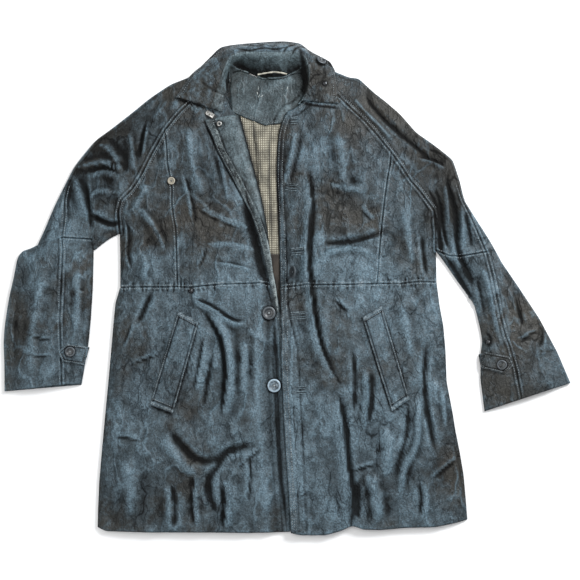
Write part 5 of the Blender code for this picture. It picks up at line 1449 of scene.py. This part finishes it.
for k, (place, length, angle) in enumerate(BUTTONHOLES):
    buttonhole("buttonhole_%d" % (k + 1), place, length, angle,
               "left_front_chest" if place[1] > -10 else "left_front_skirt")
print("buttonholes:", len(BUTTONHOLES))

# %% [markdown]
# ## Sewing
# Every stitch is a small spindle half pressed into the leather. Stitches run along both sides of the main
# seams, inside the front edge, the lapel, the collar, the cuffs and the welts. They are icospheres stretched
# along the seam, joined into a few pieces, because a thread of thousands of stitches is one thing to a maker.

# %% Helpers for the stitches
# how many stitches are joined at a time
BATCH = 40


def shifted(path, distance):
    """A path moved to its left by a distance, or to its right where it is minus."""
    way = np.gradient(path, axis=0)
    way /= np.maximum(np.hypot(way[:, 0], way[:, 1]), 1e-6)[:, None]
    return path + np.stack([-way[:, 1], way[:, 0]], 1) * distance


def stitches_along(path, names, pitch=4.4, length=3.1, thick=1.15, skip=3.0):
    """Where each stitch of a row lies on the named sheets: place, direction and size."""
    reach = np.concatenate([[0], np.cumsum(np.hypot(*np.diff(path, axis=0).T))])
    starts = np.arange(skip, reach[-1] - skip - length, pitch)
    made = []
    ends = []
    for offset in (0.0, length):
        at = starts + offset
        ends.append(np.stack([np.interp(at, reach, path[:, 0]), np.interp(at, reach, path[:, 1])], 1))
    heights = [rest_on(points, names) for points in ends]
    for a, b, low, high in zip(ends[0], ends[1], heights[0], heights[1]):
        if low > 0 and high > 0 and abs(low - high) < length:
            made.append((Vector((*a, low + 0.12)), Vector((*b, high + 0.12)), thick))
    return made


def rows_beside(path, distances, names, *sizes):
    """Rows of stitches at some distances beside a path."""
    return [stitch for distance in distances
            for stitch in stitches_along(shifted(path, distance), names, *sizes)]


def sewn(name, stitches, finish):
    """One piece of many stitches."""
    whole = bmesh.new()
    for start in range(0, len(stitches), BATCH):
        part = bmesh.new()
        for a, b, thick in stitches[start:start + BATCH]:
            way = b - a
            turn = way.to_track_quat("X", "Z").to_matrix().to_4x4()
            size = Matrix.Diagonal((way.length / 2, thick / 2, thick * 0.4, 1.0))
            bmesh.ops.create_icosphere(part, subdivisions=1, radius=1.0,
                                       matrix=Matrix.Translation((a + b) / 2) @ turn @ size)
        mesh = bpy.data.meshes.new("stitches")
        part.to_mesh(mesh)
        part.free()
        whole.from_mesh(mesh)
        bpy.data.meshes.remove(mesh)
    print(name, "has", len(stitches), "stitches")
    return finish_piece(name, whole, finish)


# %% Thread materials
def thread_finish(name, dark, light, scale):
    """Thread, lighter and darker along its length."""
    made, tree, shader = new_finish(name)
    share = between(tree, noise_at(tree, scale, 2.0), 0.35, 0.65)
    tree.links.new(blend(tree, share, (*dark, 1.0), (*light, 1.0)), shader.inputs["Base Color"])
    shader.inputs["Roughness"].default_value = 0.7
    return made


thread = thread_finish("waxed_thread", (0.07, 0.085, 0.095), (0.27, 0.30, 0.31), 120.0)
pale_thread = thread_finish("pale_thread", (0.16, 0.19, 0.20), (0.50, 0.52, 0.50), 150.0)
print("threads:", thread.name, pale_thread.name)

# %% Stitches of the fronts
FRONTS = ("right_front_side", "right_front_chest", "right_front_skirt", "left_front_chest", "left_front_side",
          "left_front_skirt")
SLEEVES = ("right_sleeve_front_upper", "right_sleeve_front_lower", "left_sleeve_front_upper",
           "left_sleeve_front_lower", "right_sleeve_back_upper", "right_sleeve_back_lower",
           "left_sleeve_back_upper", "left_sleeve_back_lower")
rows = []
for names in (("waist_right_side", "waist_right_chest"), ("waist_left_chest", "waist_left_side")):
    rows += rows_beside(line(*names), (-3.4, 3.4), FRONTS)
for name in ("panel_right", "panel_left"):
    rows += rows_beside(line(name), (-3.0, 3.0), FRONTS)
rows += rows_beside(line("front_left_upper", "front_left_lower"), (4.0, 11.0), FRONTS)
rows += rows_beside(line("front_right_lower"), (-8.0,), FRONTS)
rows += rows_beside(line("neck_left"), (-5.0,), FRONTS)
sewn("body_stitching", rows, thread)

# %% Stitches of the shoulders and sleeves
# the seam over the arm is stitched up to this height
STITCHED_TO = 180
rows = []
for names in (("raglan_right_upper", "raglan_right_lower"), ("raglan_left_upper", "raglan_left_lower")):
    rows += rows_beside(line(*names), (-3.2, 3.2, 6.4), FRONTS + SLEEVES)
for side in ("right", "left"):
    for part in ("upper", "lower"):
        for distance in (-3.4, 3.4):
            path = shifted(line("overarm_%s_%s" % (side, part)), distance)
            rows += stitches_along(path[path[:, 1] < STITCHED_TO], SLEEVES)
    rows += rows_beside(line("elbow_" + side), (3.0, -3.0), SLEEVES)
sewn("sleeve_stitching", rows, thread)

# %% Stitches of the collar, lapel, facing, welts and tabs
rows = rows_beside(soften(divide(LAPEL_OUTER, 120)), (2.6, 12.0), ("right_lapel_facing",), 3.4, 2.4)
lapel_top = divide([LAPEL_OUTER[0], LAPEL_ROLL[0]], 20)[:10]
rows += rows_beside(lapel_top, (-3.0, -7.5), ("right_lapel_facing",), 4.6, 3.4, 1.3, 5.0)
rows += rows_beside(outer, (-7.0,), ("collar_fall",))
rows += rows_beside(divide(FACING["bottom"], 60), (3.0, 6.0), ("back_neck_facing",))
for corners, carrier in ((POCKET_RIGHT, "right_pocket_welt"), (POCKET_LEFT, "left_pocket_welt")):
    a, b, c, d = (np.array(corner, float) for corner in corners)
    middle = (a + b + c + d) / 4
    ring = [corner + (middle - corner) / np.hypot(*(middle - corner)) * 5.0 for corner in (a, b, c, d)]
    for k in range(4):
        rows += stitches_along(divide([ring[k], ring[(k + 1) % 4]], 30), (carrier,), 3.8, 2.7, 0.95, 1.0)
    for share in (0.05, 0.93):
        start, end = a + (d - a) * share, b + (c - b) * share
        rows += stitches_along(divide([start, end], 12), (carrier,), 3.4, 2.6, 1.2, 3.0)
for corners, carrier in ((TAB_RIGHT, "right_cuff_tab"), (TAB_LEFT, "left_cuff_tab")):
    ring = np.array(corners, float)
    middle = ring.mean(0)
    ring = middle + (ring - middle) * 0.84
    rows += stitches_along(divide([*ring, ring[0]], 80), (carrier,), 3.4, 2.4, 0.95, 1.0)
sewn("trim_stitching", rows, thread)

# %% Loose threads on the neck facing
rows = []
for x, y, angle, length in ((-53, 366, 86, 12), (-55, 356, 96, 8), (-51, 351, 60, 11), (-46, 350, 30, 8),
                            (-3, 350, -42, 10), (-8, 364, -60, 6), (2, 366, 80, 9)):
    way = np.array([cos(radians(angle)), sin(radians(angle))]) * length / 2
    middle = np.array([x, y])
    rows += stitches_along(divide([middle - way, middle + way], 4), ("back_neck_facing",), 99.0, length - 1,
                           1.3, 0.0)
sewn("unpicked_threads", rows, pale_thread)

# %% [markdown]
# ### The hanger loop
# The loop at the neck is a tape folded into a thin cord. Its rows run round the cord, so it is closed by
# merging the first and the last row.

# %% The hanger loop
loop_tape = woven_cloth("loop_tape", (0.72, 0.70, 0.62), (0.46, 0.43, 0.35), 1 / 0.0011, 0.2)
LOOP = [(-54, 390), (-40, 392), (-23, 394), (-10, 393), (1, 391)]
steps = 12
path = soften(divide(LOOP, 60), 6)
rises = 10.5 + 3.0 * np.sin(pi * np.linspace(0, 1, len(path)))
bm = bmesh.new()
bmesh.ops.create_grid(bm, x_segments=steps, y_segments=len(path) - 1, size=0.5)
for vert in bm.verts:
    row, turn = round((vert.co.y + 0.5) * (len(path) - 1)), 2 * pi * (vert.co.x + 0.5)
    twist = 1 + 0.12 * sin(2 * turn + row * 0.5)
    vert.co = (path[row, 0], path[row, 1] + 1.5 * twist * cos(turn), rises[row] + 1.2 * twist * sin(turn))
bmesh.ops.remove_doubles(bm, verts=bm.verts[:], dist=0.01)
bmesh.ops.recalc_face_normals(bm, faces=bm.faces[:])
finish_piece("hanger_loop_cord", bm, loop_tape, ("hanger_loop",))
print("hanger loop in place")

# %% [markdown]
# ## Buttons, snaps and metal
# The buttons are turned from horn: a dished face inside a raised rim, with four holes and the thread that
# crosses them. Each is spun from its profile, bored, and laid where its CAD node lies, with the same lean.

# %% Horn and metal
def horn(name, light, dark, roughness):
    """Marbled horn or its imitation, with a painted highlight round its rim."""
    made, tree, shader = new_finish(name, light)
    marbled = between(tree, noise_at(tree, 260.0, 4.0, 0.6, 1.2), 0.35, 0.65, 0.0, 0.4)
    rim = add(tree, "Attribute", attribute_name="wear").outputs["Fac"]
    # painted highlight round the rim, over the marbling
    tone_and_highlight = plus(tree, marbled, rim, clamp=True)
    tree.links.new(blend(tree, tone_and_highlight, (*dark, 1.0), (*light, 1.0)), shader.inputs["Base Color"])
    worn = between(tree, noise_at(tree, 900.0, 2.0), 0.3, 0.7, roughness, roughness + 0.2)
    tree.links.new(worn, shader.inputs["Roughness"])
    return made


pale_horn = horn("pale_horn", (0.30, 0.39, 0.46), (0.020, 0.032, 0.042), 0.3)
dark_horn = horn("dark_horn", (0.060, 0.072, 0.082), (0.008, 0.010, 0.012), 0.28)
tan_horn = horn("tan_horn", (0.34, 0.31, 0.25), (0.19, 0.17, 0.13), 0.4)


def metal(name, bright, tarnished):
    """Tarnished metal."""
    made, tree, shader = new_finish(name, bright)
    tarnish = between(tree, noise_at(tree, 420.0, 4.0), 0.35, 0.65)
    tree.links.new(blend(tree, tarnish, (*bright, 1.0), (*tarnished, 1.0)), shader.inputs["Base Color"])
    tree.links.new(between(tree, tarnish, 0.0, 1.0, 0.3, 0.55), shader.inputs["Roughness"])
    shader.inputs["Metallic"].default_value = 1.0
    return made


aged_metal = metal("aged_metal", (0.42, 0.42, 0.41), (0.14, 0.135, 0.12))
dark_metal = metal("dark_metal", (0.10, 0.105, 0.11), (0.02, 0.02, 0.022))
print("horn:", pale_horn.name, dark_horn.name, tan_horn.name, "metal:", aged_metal.name, dark_metal.name)


# %% Helpers for round pieces
def lie_of(node):
    """Where a round CAD node rests, in millimetres, and the turn that lays a piece there."""
    piece = frame["nodes"][node]
    points = np.array([piece.matrix_world @ vert.co for vert in piece.data.vertices]) / MM
    low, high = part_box(node)
    middle = (np.array(low) + np.array(high)) / 2 / MM
    normal = np.linalg.svd(points - points.mean(0))[2][-1]
    if normal[2] < 0:
        normal = -normal
    foot = ((points - middle) @ normal).min()
    turn = Vector(normal).to_track_quat("Z", "Y").to_matrix().to_4x4()
    return Matrix.Translation(Vector(middle + normal * foot)) @ turn


def spun(profile, steps=40):
    """A solid of revolution about Z from a profile of radius and height."""
    bm = bmesh.new()
    verts = [bm.verts.new((radius, 0, rise)) for radius, rise in profile]
    rim = [bm.edges.new(pair) for pair in zip(verts, verts[1:])]
    if profile[0][0] > 0:
        rim.append(bm.edges.new((verts[-1], verts[0])))
    bmesh.ops.spin(bm, geom=verts + rim, cent=(0, 0, 0), axis=(0, 0, 1), dvec=(0, 0, 0), angle=2 * pi,
                   steps=steps, use_merge=True)
    bmesh.ops.remove_doubles(bm, verts=bm.verts[:], dist=0.001)
    bmesh.ops.recalc_face_normals(bm, faces=bm.faces[:])
    return bm


BUTTON_SHAPE = [(0.0, 0.62), (0.42, 0.60), (0.56, 0.68), (0.66, 0.90), (0.78, 1.0), (0.90, 0.96),
                (0.98, 0.78), (1.0, 0.60), (0.95, 0.32), (0.78, 0.08), (0.6, 0.0), (0.0, 0.0)]


def button(node, radius, thickness, finish, hole=0.11, spread=0.2):
    """A bored button with its thread, in place of its CAD node."""
    bm = spun([(r * radius, z * thickness) for r, z in BUTTON_SHAPE])
    body = bpy.data.meshes.new(node + "_turned")
    bm.to_mesh(body)
    bm.free()
    borer = bmesh.new()
    for k in range(4):
        place = Matrix.Rotation(pi / 4 + k * pi / 2, 4, "Z") @ Matrix.Translation((spread * radius, 0, 0))
        bmesh.ops.create_cone(borer, cap_ends=True, segments=12, radius1=hole * radius, radius2=hole * radius,
                              depth=thickness * 4, matrix=place)
    holes = bpy.data.meshes.new(node + "_holes")
    borer.to_mesh(holes)
    borer.free()
    blank, cutter = (bpy.data.objects.new(mesh.name, mesh) for mesh in (body, holes))
    for item in (blank, cutter):
        bpy.context.scene.collection.objects.link(item)
    bore = blank.modifiers.new("bore", "BOOLEAN")
    bore.operation = "DIFFERENCE"
    bore.solver = "EXACT"
    bore.object = cutter
    bored = bpy.data.meshes.new_from_object(blank.evaluated_get(bpy.context.evaluated_depsgraph_get()))
    for item in (blank, cutter):
        bpy.data.objects.remove(item, do_unlink=True)
    bm = bmesh.new()
    bm.from_mesh(bored)
    lie = lie_of(node)
    bmesh.ops.transform(bm, matrix=lie, verts=bm.verts[:])
    from_axis = lie.inverted()
    # a painted highlight round the rim, kept in the button's wear attribute
    rims = [min(1.0, max(0.0, (from_axis @ vert.co).xy.length / radius * 5 - 3.6)) for vert in bm.verts]
    piece = finish_piece(node + "_horn", bm, finish, (node,))
    piece.data.attributes.new("wear", "FLOAT", "POINT").data.foreach_set("value", rims)
    piece.data.set_sharp_from_angle(angle=radians(35))
    strands = bmesh.new()
    for turn in (pi / 4, 3 * pi / 4):
        shape = (Matrix.Translation((0, 0, 0.62 * thickness)) @ Matrix.Rotation(turn, 4, "Z")
                 @ Matrix.Diagonal((spread * radius * 1.1, 0.7, 0.55, 1.0)))
        bmesh.ops.create_icosphere(strands, subdivisions=2, radius=1.0, matrix=shape)
    bmesh.ops.transform(strands, matrix=lie, verts=strands.verts[:])
    finish_piece(node + "_thread", strands, thread)


# %% The round pieces
for node, radius, thickness, finish in (
        ("front_button_1", 12.0, 3.8, dark_horn), ("front_button_2", 12.0, 3.8, pale_horn),
        ("placket_button", 12.0, 3.8, dark_horn), ("collar_button", 9.0, 3.2, dark_horn),
        ("right_cuff_button", 9.0, 3.2, dark_horn), ("left_cuff_button", 9.0, 3.2, dark_horn),
        ("chest_button", 7.0, 2.8, tan_horn)):
    button(node, radius, thickness, finish)
SNAP_SHAPE = [(0.0, 1.9), (1.2, 1.8), (2.1, 1.35), (2.5, 0.9), (2.9, 0.95), (3.4, 0.8), (3.8, 0.4),
              (3.7, 0.0), (0.0, 0.0)]
for node in ("waist_snap", "collar_snap", "cuff_snap"):
    snap = spun(SNAP_SHAPE, 28)
    bmesh.ops.transform(snap, matrix=lie_of(node), verts=snap.verts[:])
    finish_piece(node + "_cap", snap, dark_metal, (node,))
RING_SHAPE = [(1.9, 1.0), (2.2, 1.6), (3.0, 2.0), (3.8, 1.9), (4.8, 1.4), (5.3, 0.7), (5.2, 0.0), (1.9, 0.0)]
ring = spun(RING_SHAPE, 36)
bmesh.ops.transform(ring, matrix=lie_of("lapel_ring"), verts=ring.verts[:])
finish_piece("lapel_ring_eyelet", ring, aged_metal, ("lapel_ring",))
# the hook is a bent plate: a tongue with rounded edges and a raised bar along its middle
low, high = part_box("neck_hook")
middle = (np.array(low) + np.array(high)) / 2 / MM
hook = bmesh.new()
for size, rise in (((17.0, 8.6, 1.0), 0.0), ((12.0, 2.0, 0.8), 0.8)):
    made = bmesh.ops.create_cube(hook, size=1.0, matrix=Matrix.Translation((0, 0, rise))
                                 @ Matrix.Diagonal((*size, 1.0)))["verts"]
    rims = list({edge for vert in made for edge in vert.link_edges})
    bmesh.ops.bevel(hook, geom=rims, offset=0.35, affect="EDGES", segments=3, profile=0.5, material=-1)
bmesh.ops.transform(hook, matrix=Matrix.Translation(Vector(middle)) @ Matrix.Rotation(radians(-33), 4, "Z"),
                    verts=hook.verts[:])
finish_piece("neck_hook_plate", hook, aged_metal, ("neck_hook",))
print("buttons, snaps, eyelet and hook in place")

# %% Count the faces
counts = {}
for piece in bpy.context.scene.objects:
    if piece.type == "MESH" and not piece.hide_render:
        evaluated = piece.evaluated_get(bpy.context.evaluated_depsgraph_get()).data
        counts[piece.name] = sum(len(face.vertices) - 2 for face in evaluated.polygons)
print("triangles:", sum(counts.values()), "in", len(counts), "pieces; largest", max(counts.values()),
      max(counts, key=counts.get))

for piece, cut, area, resting in sheets:
    width, length = sorted(float(size) for size in cut)
    print("%s: cut %.0f x %.0f mm, %.4f square metres" % (piece.name, width / MM, length / MM, area))
